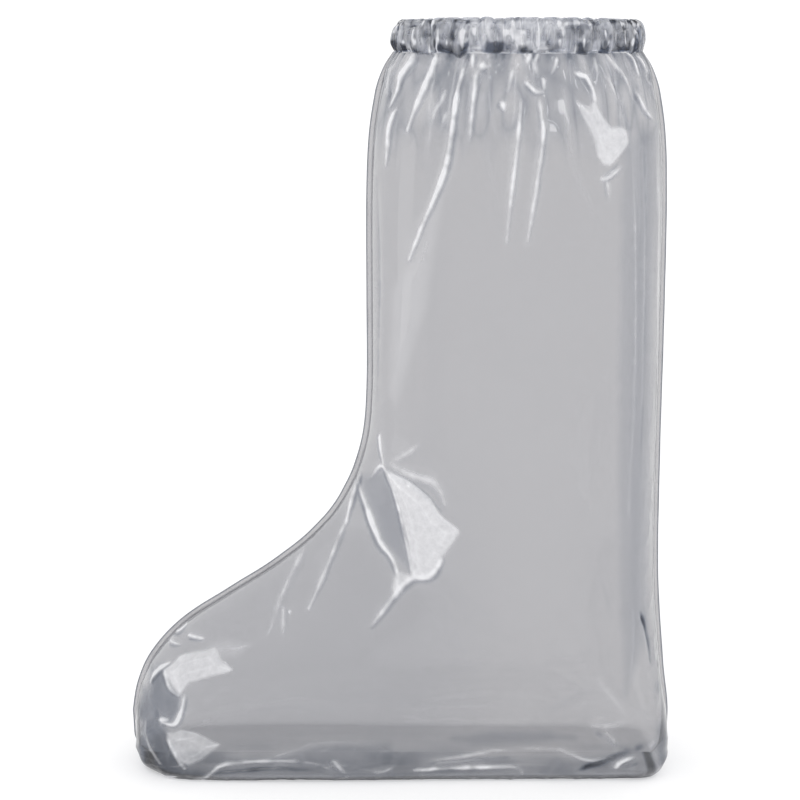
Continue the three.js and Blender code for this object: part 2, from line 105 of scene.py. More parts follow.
# The folds that show on the side towards the camera: half width and height in millimetres, the
# crest's tone, then the places that the fold runs through. Above 0 the tone paints a highlight along
# the crest, partly the whitening of creased film, and below 0 painted shade, partly film folded in a
# furrow. A place is a share across the shaft, from 0 at its front to 1 at its back, or below 0 a
# share of the toe's reach, with a level. A furrow's height is below 0.
FOLDS = (
    # Shaft, under the hem
    (1.9, 1.6, 1.2, ((0.143, 2.0), (0.15, 1.98), (0.113, 1.938), (0.097, 1.895), (0.07, 1.85))),
    (2.2, 0.8, 0.4, ((0.073, 1.964), (0.063, 1.915), (0.06, 1.885))),
    (1.4, -0.8, -0.9, ((0.073, 1.895), (0.07, 1.867))),
    (1.6, -1.0, -0.6, ((0.155, 1.97), (0.12, 1.925))),
    (1.7, 1.3, 1.0, ((0.093, 1.849), (0.069, 1.8), (0.06, 1.75), (0.05, 1.69))),
    (1.7, 1.7, 1.2, ((0.212, 2.0), (0.218, 1.99), (0.2, 1.945), (0.18, 1.9), (0.143, 1.83),
                     (0.126, 1.79))),
    (3.6, -1.4, -0.35, ((0.24, 1.98), (0.225, 1.94), (0.21, 1.9))),
    (1.9, 2.2, 1.25, ((0.305, 1.96), (0.286, 1.89), (0.276, 1.83), (0.254, 1.71), (0.222, 1.63),
                      (0.166, 1.52), (0.127, 1.435))),
    (2.0, 0.7, 0.35, ((0.254, 1.906), (0.237, 1.874), (0.21, 1.83), (0.186, 1.725))),
    (1.8, 0.7, 0.4, ((0.25, 1.84), (0.234, 1.8))),
    (1.8, 1.2, 1.2, ((0.338, 2.0), (0.334, 1.965))),
    (1.4, -0.9, -0.8, ((0.322, 2.0), (0.315, 1.965))),
    (2.0, 1.3, 0.95, ((0.347, 1.955), (0.341, 1.907), (0.331, 1.832), (0.325, 1.765))),
    (1.4, -0.8, -0.4, ((0.333, 1.936), (0.318, 1.832))),
    (2.2, 0.9, 0.7, ((0.389, 2.0), (0.383, 1.99))),
    (2.6, 0.9, 1.1, ((0.357, 1.968), (0.379, 1.968))),
    (2.0, 0.8, 0.45, ((0.466, 1.96), (0.447, 1.9))),
    (2.4, 1.0, 1.2, ((0.431, 1.872), (0.437, 1.852))),
    (1.6, 1.2, 0.7, ((0.492, 1.886), (0.486, 1.817), (0.474, 1.71), (0.459, 1.6), (0.447, 1.49))),
    (1.8, 1.0, 1.0, ((0.525, 2.0), (0.512, 1.979))),
    (1.8, 0.8, 0.6, ((0.551, 2.0), (0.535, 1.979), (0.541, 1.95))),
    (1.8, 1.4, 1.3, ((0.505, 1.926), (0.521, 1.913), (0.541, 1.9), (0.564, 1.9))),
    (1.6, 1.0, 1.1, ((0.564, 1.935), (0.568, 1.905))),
    (1.4, -0.8, -0.8, ((0.516, 1.945), (0.522, 1.934))),
    (1.2, -0.6, -0.8, ((0.551, 1.93), (0.551, 1.911))),
    (1.7, 1.3, 0.8, ((0.551, 1.884), (0.557, 1.841), (0.564, 1.788), (0.549, 1.678), (0.516, 1.494))),
    (1.8, 0.8, 0.9, ((0.61, 1.99), (0.603, 1.968), (0.59, 1.945))),
    (1.8, 1.2, 1.3, ((0.669, 1.95), (0.693, 1.941), (0.706, 1.936), (0.726, 1.906), (0.736, 1.874))),
    (1.4, -0.7, -0.9, ((0.672, 1.962), (0.682, 1.957))),
    (1.8, 0.7, 0.5, ((0.731, 1.994), (0.744, 1.946))),
    (2.0, 0.8, 0.4, ((0.771, 1.935), (0.816, 1.873), (0.823, 1.819))),
    (2.6, -1.5, -0.75, ((0.765, 1.994), (0.796, 1.94), (0.816, 1.897), (0.833, 1.856), (0.852, 1.794))),
    (1.8, 1.0, 0.7, ((0.762, 2.0), (0.807, 1.964), (0.841, 1.923), (0.873, 1.861))),
    (1.7, 1.2, 1.3, ((0.845, 2.0), (0.865, 1.979), (0.886, 1.938))),
    (1.6, -1.0, -0.5, ((0.85, 1.965), (0.88, 1.92), (0.9, 1.86))),
    (1.7, 1.1, 1.2, ((0.886, 1.99), (0.927, 1.948))),
    (1.8, 1.1, 1.2, ((0.877, 1.893), (0.907, 1.849), (0.942, 1.82))),
    (1.8, 0.7, 0.5, ((0.933, 1.921), (0.956, 1.868))),
    (1.5, 1.2, 1.0, ((0.756, 1.661), (0.784, 1.668), (0.825, 1.692))),
    (1.2, -0.8, -1.0, ((0.765, 1.668), (0.79, 1.68), (0.815, 1.7))),
    (1.5, 0.7, 0.7, ((0.777, 1.655), (0.785, 1.606))),
    (1.6, 0.5, 0.16, ((0.869, 1.66), (0.885, 1.32), (0.886, 0.98), (0.877, 0.73))),
    (1.4, 0.5, 0.2, ((0.955, 1.73), (0.978, 1.31), (0.984, 0.88))),
    (1.6, -0.8, -0.25, ((0.903, 1.82), (0.927, 1.32), (0.918, 0.84))),
    (1.6, -0.6, -0.25, ((0.019, 1.65), (0.025, 1.31), (0.021, 1.02))),
    # Instep
    (1.8, 1.0, 0.55, ((-0.1, 0.82), (-0.07, 0.84), (-0.05, 0.81))),
    (3.0, 1.9, 1.4, ((-0.05, 0.79), (-0.02, 0.75), (0.01, 0.69), (0.04, 0.64), (0.07, 0.61),
                     (0.09, 0.57))),
    (2.0, 1.4, 1.4, ((-0.045, 0.81), (-0.08, 0.74), (-0.105, 0.68))),
    (1.8, 0.9, 0.8, ((-0.11, 0.68), (-0.18, 0.57), (-0.255, 0.465))),
    (1.6, 1.1, 1.0, ((0.0, 0.81), (0.04, 0.85), (0.07, 0.81), (0.1, 0.74), (0.12, 0.66), (0.14, 0.57))),
    (5.0, 1.6, 0.5, ((0.07, 0.86), (0.14, 0.84), (0.21, 0.83), (0.24, 0.8), (0.25, 0.77))),
    (1.6, -0.9, -0.55, ((0.1, 0.83), (0.17, 0.8), (0.24, 0.75))),
    (2.4, 1.3, 1.3, ((0.24, 0.62), (0.2, 0.57), (0.14, 0.56), (0.09, 0.52), (0.05, 0.48), (0.0, 0.43))),
    (1.8, 0.9, 0.5, ((0.09, 0.52), (0.095, 0.57))),
    (1.6, 0.8, 0.9, ((0.03, 0.93), (0.035, 0.89), (0.045, 0.85))),
    (2.6, 0.7, 0.4, ((0.08, 0.87), (0.13, 0.9), (0.17, 0.93))),
    (3.0, 0.8, 0.4, ((-0.28, 0.6), (-0.36, 0.5), (-0.42, 0.4))),
    # Toe
    (1.2, 0.8, 1.3, ((-0.85, 0.355), (-0.81, 0.365), (-0.775, 0.385))),
    (1.2, 0.6, 1.0, ((-0.85, 0.34), (-0.79, 0.348))),
    (1.3, 0.6, 1.2, ((-0.76, 0.37), (-0.69, 0.372))),
    (1.8, 1.1, 1.3, ((-0.915, 0.245), (-0.87, 0.285), (-0.83, 0.305))),
    (1.6, 1.0, 1.2, ((-0.85, 0.285), (-0.82, 0.25), (-0.78, 0.235))),
    (1.8, 1.0, 1.1, ((-0.76, 0.24), (-0.77, 0.205), (-0.8, 0.165), (-0.855, 0.165))),
    (3.0, 1.0, 1.0, ((-0.862, 0.17), (-0.83, 0.175))),
    (1.8, 1.0, 1.1, ((-0.83, 0.13), (-0.79, 0.07), (-0.76, 0.04))),
    (1.6, 0.7, 1.0, ((-0.84, 0.015), (-0.8, 0.015))),
    (1.6, 0.4, 0.5, ((-0.93, 0.16), (-0.91, 0.1), (-0.86, 0.05))),
    (2.4, 0.5, 0.42, ((-0.7, 0.0), (-0.65, 0.035), (-0.59, 0.06), (-0.42, 0.07), (-0.25, 0.065),
                      (-0.16, 0.045))),
    (2.6, -0.9, -1.3, ((-0.64, 0.03), (-0.4, 0.045), (-0.2, 0.035))),
    (2.4, 0.6, 0.4, ((-0.36, 0.465), (-0.36, 0.4))),
    # Sole and heel
    (2.2, 0.7, 0.06, ((-0.44, 0.075), (-0.3, 0.1), (-0.22, 0.12), (0.06, 0.12))),
    (1.6, -0.8, -1.0, ((-0.17, 0.07), (-0.13, 0.03))),
    (1.8, 0.8, 0.5, ((-0.15, 0.07), (-0.11, 0.035))),
    (1.6, 0.7, 0.5, ((0.01, 0.035), (0.05, 0.04), (0.09, 0.06))),
    (2.6, 0.8, 0.75, ((0.15, 0.04), (0.21, 0.045), (0.38, 0.05), (0.5, 0.05), (0.52, 0.03))),
    (2.6, 0.4, 0.3, ((0.21, 0.07), (0.31, 0.08), (0.46, 0.1), (0.66, 0.1), (0.73, 0.07))),
    (1.6, -0.8, -0.9, ((0.2, 0.058), (0.33, 0.067), (0.5, 0.08))),
    (2.0, -1.0, -2.6, ((0.93, 0.45), (0.95, 0.41), (0.965, 0.36), (0.97, 0.31))),
    (3.0, 0.7, 0.12, ((0.77, 0.3), (0.86, 0.21), (0.87, 0.19))),
    (1.8, 0.8, 0.35, ((0.74, 0.17), (0.82, 0.17), (0.9, 0.18))),
    (1.6, 0.8, 0.4, ((0.8, 0.155), (0.83, 0.13), (0.84, 0.1))),
    (1.6, -0.9, -0.9, ((0.77, 0.15), (0.81, 0.13), (0.85, 0.11), (0.89, 0.1))),
    (4.0, -1.0, -2.4, ((0.72, 0.04), (0.79, 0.06), (0.84, 0.08), (0.91, 0.1), (0.95, 0.11))),
    (1.8, 1.3, 1.4, ((0.84, 0.045), (0.86, 0.065), (0.91, 0.08))),
    (1.5, -0.8, -1.6, ((0.87, 0.045), (0.92, 0.06))),
    (1.5, 0.8, 1.1, ((0.955, 0.1), (0.985, 0.115))),
    (1.6, 0.6, 0.35, ((0.65, 0.1), (0.71, 0.08), (0.76, 0.07), (0.84, 0.08))),
)

# Flat facets of stiff film: the slope at their edges, their height in millimetres, their tone, and
# their corners in order round them. A tone above 0 paints a highlight over the facet, below 0 shade.
FACETS = (
    (0.5, 2.6, 0.74, ((0.055, 0.84), (0.13, 0.82), (0.2, 0.78), (0.23, 0.74), (0.3, 0.7), (0.24, 0.62),
                      (0.2, 0.57), (0.14, 0.56), (0.13, 0.66), (0.105, 0.74))),
    (0.3, 1.0, 0.6, ((0.085, 0.575), (0.145, 0.565), (0.085, 0.5), (0.07, 0.53))),
    (0.2, 1.0, -0.34, ((-0.04, 0.8), (0.05, 0.84), (0.1, 0.74), (0.13, 0.58), (0.04, 0.65))),
    (0.4, 1.4, 0.62, ((0.67, 1.88), (0.706, 1.82), (0.73, 1.773), (0.745, 1.726), (0.766, 1.704),
                      (0.79, 1.7), (0.82, 1.724), (0.85, 1.76), (0.844, 1.79), (0.827, 1.8), (0.79, 1.8),
                      (0.76, 1.834), (0.735, 1.874), (0.713, 1.856), (0.69, 1.864))),
    (0.4, 1.8, 0.72, ((-0.85, 0.285), (-0.79, 0.325), (-0.71, 0.345), (-0.64, 0.355), (-0.61, 0.33),
                      (-0.56, 0.31), (-0.68, 0.285), (-0.74, 0.27), (-0.78, 0.235))),
    (0.1, 0.6, 0.2, ((-0.7, 0.35), (-0.6, 0.375), (-0.5, 0.37), (-0.55, 0.345), (-0.62, 0.34))),
    (0.3, 1.2, -0.75, ((-0.91, 0.27), (-0.86, 0.29), (-0.82, 0.255), (-0.78, 0.235), (-0.78, 0.2),
                       (-0.815, 0.17), (-0.87, 0.17), (-0.92, 0.21))),
    (0.3, 1.2, -0.95, ((-0.94, 0.14), (-0.88, 0.18), (-0.835, 0.14), (-0.79, 0.08), (-0.74, 0.035),
                       (-0.66, 0.02), (-0.75, -0.02), (-0.86, 0.0), (-0.93, 0.07))),
    (0.3, 1.4, 0.5, ((-0.835, 0.14), (-0.775, 0.15), (-0.715, 0.145), (-0.61, 0.115), (-0.69, 0.07),
                     (-0.75, 0.05), (-0.785, 0.065))),
    (0.1, 0.6, 0.15, ((0.241, 1.63), (0.173, 1.28), (0.083, 1.02), (0.062, 1.04), (0.076, 1.35),
                      (0.133, 1.43), (0.222, 1.61))),
    (0.1, 0.6, -0.2, ((0.83, 1.75), (0.96, 1.8), (0.96, 0.4), (0.87, 0.25), (0.84, 0.9))),
    (0.1, 0.3, -0.12, ((0.88, 1.8), (0.93, 1.8), (0.93, 0.5), (0.9, 0.35), (0.88, 0.9))),
    (0.2, 0.8, -0.3, ((-0.42, 0.07), (-0.3, 0.095), (-0.22, 0.115), (0.06, 0.115), (0.1, 0.06),
                      (-0.1, 0.03))),
    (0.2, 0.6, -0.3, ((0.56, 0.02), (0.64, 0.075), (0.7, 0.04), (0.72, 0.0))),
    (0.1, 0.3, -0.35, ((0.28, 0.13), (0.4, 0.15), (0.6, 0.15), (0.7, 0.135), (0.55, 0.12),
                       (0.35, 0.115))),
)

# The hem's film, from its lower outer edge, over the top and down to its lower inner edge: out is a
# share of the bulge from the hem's middle, up a share of its height, and gather how much it puckers.
HEM_PROFILE = np.array([
    (0.7, 0.0, 0.25),
    (1.0, 0.14, 0.8),
    (1.15, 0.38, 1.0),
    (1.05, 0.64, 1.0),
    (0.65, 0.88, 0.9),
    (-0.3, 1.0, 0.9),
    (-0.9, 0.84, 1.0),
    (-1.1, 0.5, 1.0),
    (-0.9, 0.2, 0.7),
    (-0.1, 0.03, 0.3),
])
HEM_EDGE = 0.8  # the lower edge lies this share of the bulge outside the hem's middle

# The hem's random patterns: cells round the hem, a cell's height in millimetres, and the seed.
HEM_PATTERNS = {
    "knots": (81, 7, 47),
    "mottle": (150, 4, 59),
    "spots": (100, 5, 53),
    "glints": (170, 6, 57),
    "milk": (180, 3, 63),
}

# The welded edge's section, from inside the film to its rim: a share of its width, half its
# thickness in half millimetres, and how many more layers of film it is there.
WELD_PROFILE = (
    (-0.25, 0.45, 0.6),
    (0.12, 0.42, 0.0),
    (0.3, 0.2, -0.1),
    (0.68, 0.2, -0.1),
    (0.82, 0.42, 0.6),
    (1.0, 0.2, 2.4),
)
WELD_ROUGHNESS = 0.18

# How finely the pieces are cut: rows and columns of faces, or points along or round a piece.
NEAR_GRID = (780, 370)
FAR_GRID = (300, 200)
HEM_GRID = (1300, 72)  # points round the hem and over its profile
WELD_STEPS = 1500
ELASTIC_STEPS = 620
ELASTIC_CORNERS = 12
# The finer steps that curves are measured by before their points are spread evenly.
SECTION_STEPS = 720
RING_STEPS = 2880
LINE_STEPS = 4000
OUTLINE_PLACES = 1200
TIP_STEPS = 14

# no mesh is too large that way
BANDS = ("near_film_shaft", "near_film_ankle", "near_film_foot")  # the near panel's film, in three bands of rows

SEAM_FACE = 0.45 * MM  # from the middle plane to a panel's film at its weld
SOLE_FACE = 0.05 * MM  # the same under the sole
SOLE_FLATTENING = 3 * MM  # how far a section is drawn below the sole, to be pressed flat
FLOOR_LIFT = 0.35 * MM  # how high the lowest film lies
GATHER_RUN = 30 * MM  # how far one gather runs down
ELASTIC_HALF = 0.55 * MM  # half the elastic's thickness
ELASTIC_RIPPLES = 46

# The first seed of each panel's crumples and marks, and of the gathers.
NEAR_SEED = 11
FAR_SEED = 61
GATHER_SEED = 3

# The studio lights, which only the film's shine shows: name, width and height, turn round the cover
# from the camera and height angle in degrees, distance, and brightness.
CARDS = (
    ("left_strip", 0.5, 1.9, -84, 8, 1.5, 1.4),
    ("right_strip", 0.35, 1.6, 84, 10, 1.5, 1.5),
    ("high_left", 0.16, 0.12, -38, 42, 1.45, 5.0),
    ("high_front", 0.3, 0.14, 8, 64, 1.45, 3.5),
    ("high_right", 0.16, 0.16, 46, 32, 1.45, 4.5),
    ("low_right", 0.12, 0.12, 26, 14, 1.4, 4.5),
)
AIM = Vector((0.02, 0.0, 0.24))  # where the lights point
CAMERA_DISTANCE = 1.285
CAMERA_DOWN = 10.2  # degrees
CAMERA_LENS = 96  # millimetres
WORLD_LIGHT = 1.16
FLOOR_GLOW = 0.72
FLOOR_RADIUS = 400.0
FILM_LAYERS = 48  # how many layers of film a ray may pass


class CoverSizes(bpy.types.PropertyGroup):
    """The sizes that the cover's pieces are worked out from."""

    height: bpy.props.FloatProperty(
        name="Height", description="Floor to the top of the hem", default=float(HIGH[2]), unit="LENGTH")
    foot_length: bpy.props.FloatProperty(
        name="Foot length", description="Film from heel to toe",
        default=float(PANEL_HIGH[0] - PANEL_LOW[0]), unit="LENGTH")
    shaft_length: bpy.props.FloatProperty(
        name="Shaft depth", description="Shaft from front to back", default=0.175, unit="LENGTH")
    shaft_width: bpy.props.FloatProperty(
        name="Shaft width", description="Shaft from side to side", default=0.132, unit="LENGTH")
    foot_width: bpy.props.FloatProperty(
        name="Foot width", description="Foot from side to side", default=0.12, unit="LENGTH")
    instep_height: bpy.props.FloatProperty(
        name="Instep height", description="Where the shaft's front turns forward",
        default=0.225, unit="LENGTH")
    heel_swell: bpy.props.FloatProperty(
        name="Heel swell", description="How far the heel stands behind the shaft",
        default=0.0075, unit="LENGTH")
    cuff_length: bpy.props.FloatProperty(
        name="Hem depth", description="Film at the hem from front to back", default=0.147, unit="LENGTH")
    cuff_width: bpy.props.FloatProperty(
        name="Hem width", description="Film at the hem from side to side", default=0.112, unit="LENGTH")
    cuff_height: bpy.props.FloatProperty(
        name="Hem height", description="Height of the gathered hem",
        default=float(HEM_HIGH[2] - HEM_LOW[2]), unit="LENGTH")
    cuff_bulge: bpy.props.FloatProperty(
        name="Hem puff", description="How far the hem puffs out from its middle",
        default=0.0036, unit="LENGTH")
    gathers: bpy.props.IntProperty(
        name="Gathers", description="Gathers round the hem", default=60, min=12, max=120)
    seam_width: bpy.props.FloatProperty(
        name="Weld width", description="How far the welded edge stands out", default=0.003, unit="LENGTH")


class CoverLook(bpy.types.PropertyGroup):
    """The colours and finishes that a user would change."""

    clear: bpy.props.FloatVectorProperty(
        name="Film", description="Light that one layer of film lets through",
        default=(0.622, 0.62, 0.632), subtype="COLOR", min=0, max=1)
    hem: bpy.props.FloatVectorProperty(
        name="Hem film", description="Light that one layer of the hem's stretched film lets through",
        default=(0.8, 0.803, 0.825), subtype="COLOR", min=0, max=1)
    # The folded colour also tints the painted shade that the extra layers carry
    folded: bpy.props.FloatVectorProperty(
        name="Folded film", description="Light that film folded over itself lets through once more",
        default=(0.6, 0.63, 0.68), subtype="COLOR", min=0, max=1)
    shine: bpy.props.FloatProperty(
        name="Shine", description="Light that the film reflects face on", default=0.085,
        subtype="FACTOR", min=0, max=1)
    cloud: bpy.props.FloatProperty(
        name="Clouding", description="How cloudy the smooth film is", default=0.06,
        subtype="FACTOR", min=0, max=1)
    # The colour of the whitening, which shows the film's clouding and the painted highlights alike
    haze_and_highlight: bpy.props.FloatVectorProperty(
        name="Haze", description="Whitening of stretched and creased film",
        default=(0.95, 0.95, 0.97), subtype="COLOR", min=0, max=1)
    gloss: bpy.props.FloatProperty(
        name="Roughness", description="Roughness of the film's shine",
        default=0.09, subtype="FACTOR", min=0, max=1)
    elastic: bpy.props.FloatVectorProperty(
        name="Elastic", description="Colour of the elastic", default=(0.62, 0.64, 0.69),
        subtype="COLOR", min=0, max=1)
    floor: bpy.props.FloatVectorProperty(
        name="Floor", description="Colour of the studio floor", default=(0.6, 0.6, 0.603),
        subtype="COLOR", min=0, max=1)


def smoothstep(value, low, high):
    """0 below low and 1 above high, with a smooth cubic rise between them."""
    share = np.clip((value - low) / (high - low), 0, 1)
    return share * share * (3 - 2 * share)


def mix(a, b, share):
    """The value at that share of the way from a to b."""
    return a + (b - a) * share


def spline(table, place):
    """Catmull-Rom curve through a table's rows: place runs from 0 at the first to 1 at the last."""
    last = len(table) - 1
    index = np.minimum((place * last).astype(int), last - 1)
    t = (place * last - index)[:, None]
    a, b, c, d = (table[np.clip(index + step, 0, last)] for step in (-1, 0, 1, 2))
    return b + 0.5 * t * (c - a + t * (2 * a - 5 * b + 4 * c - d + t * (3 * (b - c) + d - a)))


def noise(a, b, cell, seed, turns=64):
    """Smooth value noise from -1 to 1: random numbers on a square lattice of the given cell, blended
    with a cubic between the four nearest. It repeats after so many cells of a. Each pattern has its
    own seed."""
    lattice = np.random.default_rng(seed).uniform(-1, 1, (turns, 64))
    u, v = a / cell + 4 * turns, b / cell + 256
    i, j = np.floor(u).astype(int), np.floor(v).astype(int)
    s, t = smoothstep(u - i, 0, 1), smoothstep(v - j, 0, 1)
    near = mix(lattice[i % turns, j % 64], lattice[(i + 1) % turns, j % 64], s)
    far = mix(lattice[i % turns, (j + 1) % 64], lattice[(i + 1) % turns, (j + 1) % 64], s)
    return mix(near, far, t)


def ridged(a, b, cell, seed):
    """Sharp crests where smooth noise crosses zero, from 0 to 1."""
    return (1 - np.abs(noise(a, b, cell, seed))) ** 4


def pleats(turn, down, count, length, seed):
    """Gathers, from 0 in their sharp valleys to 1 on their round puffs: smooth noise stretched down
    the film, whose zero crossings are the valleys. There are about count lattice cells round the
    hem, and each runs down about that length."""
    sway = 0.6 * noise(turn * count / 3, down / (2 * length), 1.0, seed + 1, count // 3)
    return np.abs(noise(turn * count + sway, down / length, 1.0, seed, count)) ** 0.6


class Shape:
    """The cover's outline and levels, worked out from its sizes."""

    def __init__(self, sizes):
        self.sizes = sizes
        self.film_top = sizes.height - sizes.cuff_height
        self.shaft_back = PANEL_HIGH[0] - sizes.heel_swell
        self.shaft_front = self.shaft_back - sizes.shaft_length
        self.toe_reach = sizes.foot_length - sizes.heel_swell - sizes.shaft_length
        self.middle = (self.shaft_front + self.shaft_back) / 2

    def ahead(self, share):
        """The x of a place ahead of the shaft: 0 at the shaft's front and 1 at the toe."""
        return self.shaft_front - share * self.toe_reach

    def height_of(self, level):
        """A height from its level: 0 at the floor, 1 at the instep and 2 at the hem."""
        low = level * self.sizes.instep_height
        high = mix(self.sizes.instep_height, self.film_top, level - 1)
        return np.where(level < 1, low, high)

    def place(self, across, level):
        """The side view's x and z of a share across the shaft, or ahead of it, and a level."""
        reach = self.sizes.shaft_length if across >= 0 else self.toe_reach
        return np.array([self.shaft_front + across * reach, float(self.height_of(np.float64(level)))])

    def lines(self, place):
        """The front line and the back line in the middle plane, the half width and the flatness of
        the sole, at places from 0 at the hem to 1 at the toe."""
        values = dict(zip(COLUMNS, spline(SECTIONS, place).T))
        half_length = mix(self.sizes.shaft_length, self.sizes.cuff_length, values["neck"]) / 2
        front = np.stack([
            self.middle - half_length - values["ahead"] * self.toe_reach,
            self.height_of(values["up"]),
        ], 1)
        back = np.stack([
            self.middle + half_length + values["heel"] * self.sizes.heel_swell
            - values["along"] * self.sizes.foot_length,
            self.height_of(values["down"]) - values["sole"] * SOLE_FLATTENING,
        ], 1)
        shaft_half = mix(self.sizes.shaft_width, self.sizes.cuff_width, values["neck"]) / 2
        half = mix(shaft_half, self.sizes.foot_width / 2, values["foot"])
        half = half * np.sqrt(np.maximum(values["full"], 0))
        return front, back, half, np.clip(values["sole"], 0, 1)

    def even_places(self, count):
        """Places whose sections lie about evenly far apart along the front and back lines."""
        fine = np.linspace(0, 1, LINE_STEPS + 1)
        front, back, _, _ = self.lines(fine)
        steps = np.linalg.norm(np.diff(front, axis=0), axis=1)
        steps = steps + np.linalg.norm(np.diff(back, axis=0), axis=1)
        run = np.concatenate([[0], np.cumsum(steps)])
        return np.interp(np.linspace(0, run[-1], count), run, fine)


def evenly(points, count):
    """A row of points spread evenly along its own length."""
    run = np.concatenate([[0], np.cumsum(np.linalg.norm(np.diff(points, axis=0), axis=1))])
    wanted = np.linspace(0, run[-1], count)
    return np.stack([np.interp(wanted, run, points[:, axis]) for axis in range(3)], 1)


def seam_face(z):
    """How far from the middle plane a panel's film is at its weld: close together under the sole."""
    return mix(SOLE_FACE, SEAM_FACE, smoothstep(z, 2 * MM, 12 * MM))


def smooth_panel(shape, places, count):
    """The near panel without folds, as a grid of points. Each section is a superellipse between the
    front line and the back line: out = half * sin(angle)^p and along = a cosine to the power p, where
    p is 1 on the round front and smaller towards a flat sole."""
    front, back, half, sole = (value[:, None] for value in shape.lines(places))
    angle = np.linspace(0, np.pi, SECTION_STEPS)[None, :]
    cosine = np.cos(angle)
    widest = mix(0.5, 0.62, sole)
    power = np.where(cosine > 0, 1, 2 / mix(2, 6, sole))
    reach = np.abs(cosine) ** power
    along = np.where(cosine > 0, widest * (1 - reach), widest + (1 - widest) * reach)
    out = half * np.abs(np.sin(angle)) ** power
    x = mix(front[..., 0], back[..., 0], along)
    z = mix(front[..., 1], back[..., 1], along)
    raw = np.stack([x, -seam_face(z) - out, z], 2)
    return np.stack([evenly(row, count) for row in raw])


def soften(values):
    """A grid of numbers, each mixed half and half with the mean of its two neighbours, first down
    the grid and then round it."""
    for axis in (0, 1):
        last = values.shape[axis] - 1
        before = np.concatenate([values.take([0], axis), values.take(range(last), axis)], axis)
        after = np.concatenate([values.take(range(1, last + 1), axis), values.take([last], axis)], axis)
        values = 0.5 * values + 0.25 * (before + after)
    return values


def grid_normals(grid):
    """Unit normals from the cross product of the differences down and round the grid."""
    down, around = np.gradient(grid, axis=0), np.gradient(grid, axis=1)
    normal = np.cross(down, around)
    return normal / np.maximum(np.linalg.norm(normal, axis=2, keepdims=True), 1e-12)


def along_route(points, u, v):
    """How places in the side view lie to a route of straight steps: their distance from it, where
    along it their nearest point is, from 0 to 1, and how far below it they are."""
    lengths = np.linalg.norm(np.diff(points, axis=0), axis=1)
    starts = np.cumsum(lengths) - lengths
    best = np.full(u.shape, 1.0)
    share, under = np.zeros_like(u), np.zeros_like(u)
    for a, b, length, done in zip(points, points[1:], lengths, starts):
        run = (b - a) / length
        along = np.clip((u - a[0]) * run[0] + (v - a[1]) * run[1], 0, length)
        away = np.hypot(u - a[0] - along * run[0], v - a[1] - along * run[1])
        closer = away < best
        best = np.where(closer, away, best)
        share = np.where(closer, (done + along) / lengths.sum(), share)
        lower = 1 if run[0] > 0 else -1
        under = np.where(closer, lower * ((u - a[0]) * run[1] - (v - a[1]) * run[0]), under)
    return best, share, under


def fold_lift(shape, x, z, folds):
    """How far folds lift the film at side-view places, and their painted highlight and painted shade.
    Each is a sharp bell across its curved route, with height exp(-(distance / width)^1.5), which fades
    in at its start and out at its end. Its line of painted highlight or painted shade is a narrower
    bell, tapered to both ends, and a painted highlight has a flank of painted shade beside it, on its
    lower side."""
    lift, white, dark = np.zeros_like(x), np.zeros_like(x), np.zeros_like(x)
    waver = 0.4 * MM * noise(x, z, 8 * MM, 21)
    patchy = 0.85 + 0.5 * noise(x, z, 14 * MM, 22) + 0.5 * noise(x, z, 4 * MM, 23)
    patchy = np.clip(patchy, 0.15, 1.5)
    for wide, deep, tone, route in folds:
        corners = np.array([shape.place(across, level) for across, level in route])
        points = spline(corners, np.linspace(0, 1, 4 * len(corners)))
        low, high = points.min(axis=0) - 5 * wide * MM, points.max(axis=0) + 5 * wide * MM
        here = np.nonzero((x > low[0]) & (x < high[0]) & (z > low[1]) & (z < high[1]))
        best, share, under = along_route(points, x[here], z[here])
        best = np.maximum(best + waver[here] * (best > 0.2 * MM), 0)
        fade = smoothstep(share, -0.02, 0.12) * (1 - 0.75 * smoothstep(share, 0.4, 1.0))
        lift[here] += deep * MM * fade * np.exp(-((best / (wide * MM)) ** 1.5))
        taper = np.sqrt(np.clip(np.minimum(6 * (share + 0.03), 2.6 * (1.03 - share)), 0, 1))
        width = 0.43 * wide * MM * (0.3 + 0.7 * taper)
        bell = np.exp(-((best / width) ** 2)) + 0.12 * np.exp(-best / (1.3 * wide * MM))
        line = abs(tone) * patchy[here] * bell * (0.5 + 0.5 * fade)
        # A painted highlight line where the tone is above 0, painted shade where it is below
        if tone > 0:
            white[here] = np.maximum(white[here], line)
            # Painted shade beside the painted highlight, on the fold's lower side
            flank = np.exp(-(((best - 2.1 * width) / (1.1 * width)) ** 2)) * smoothstep(under, 0, 1 * MM)
            line = 0.8 * max(tone - 0.3, 0) * flank * (0.4 + 0.6 * fade)
        dark[here] = np.maximum(dark[here], line)
    return lift, white, dark


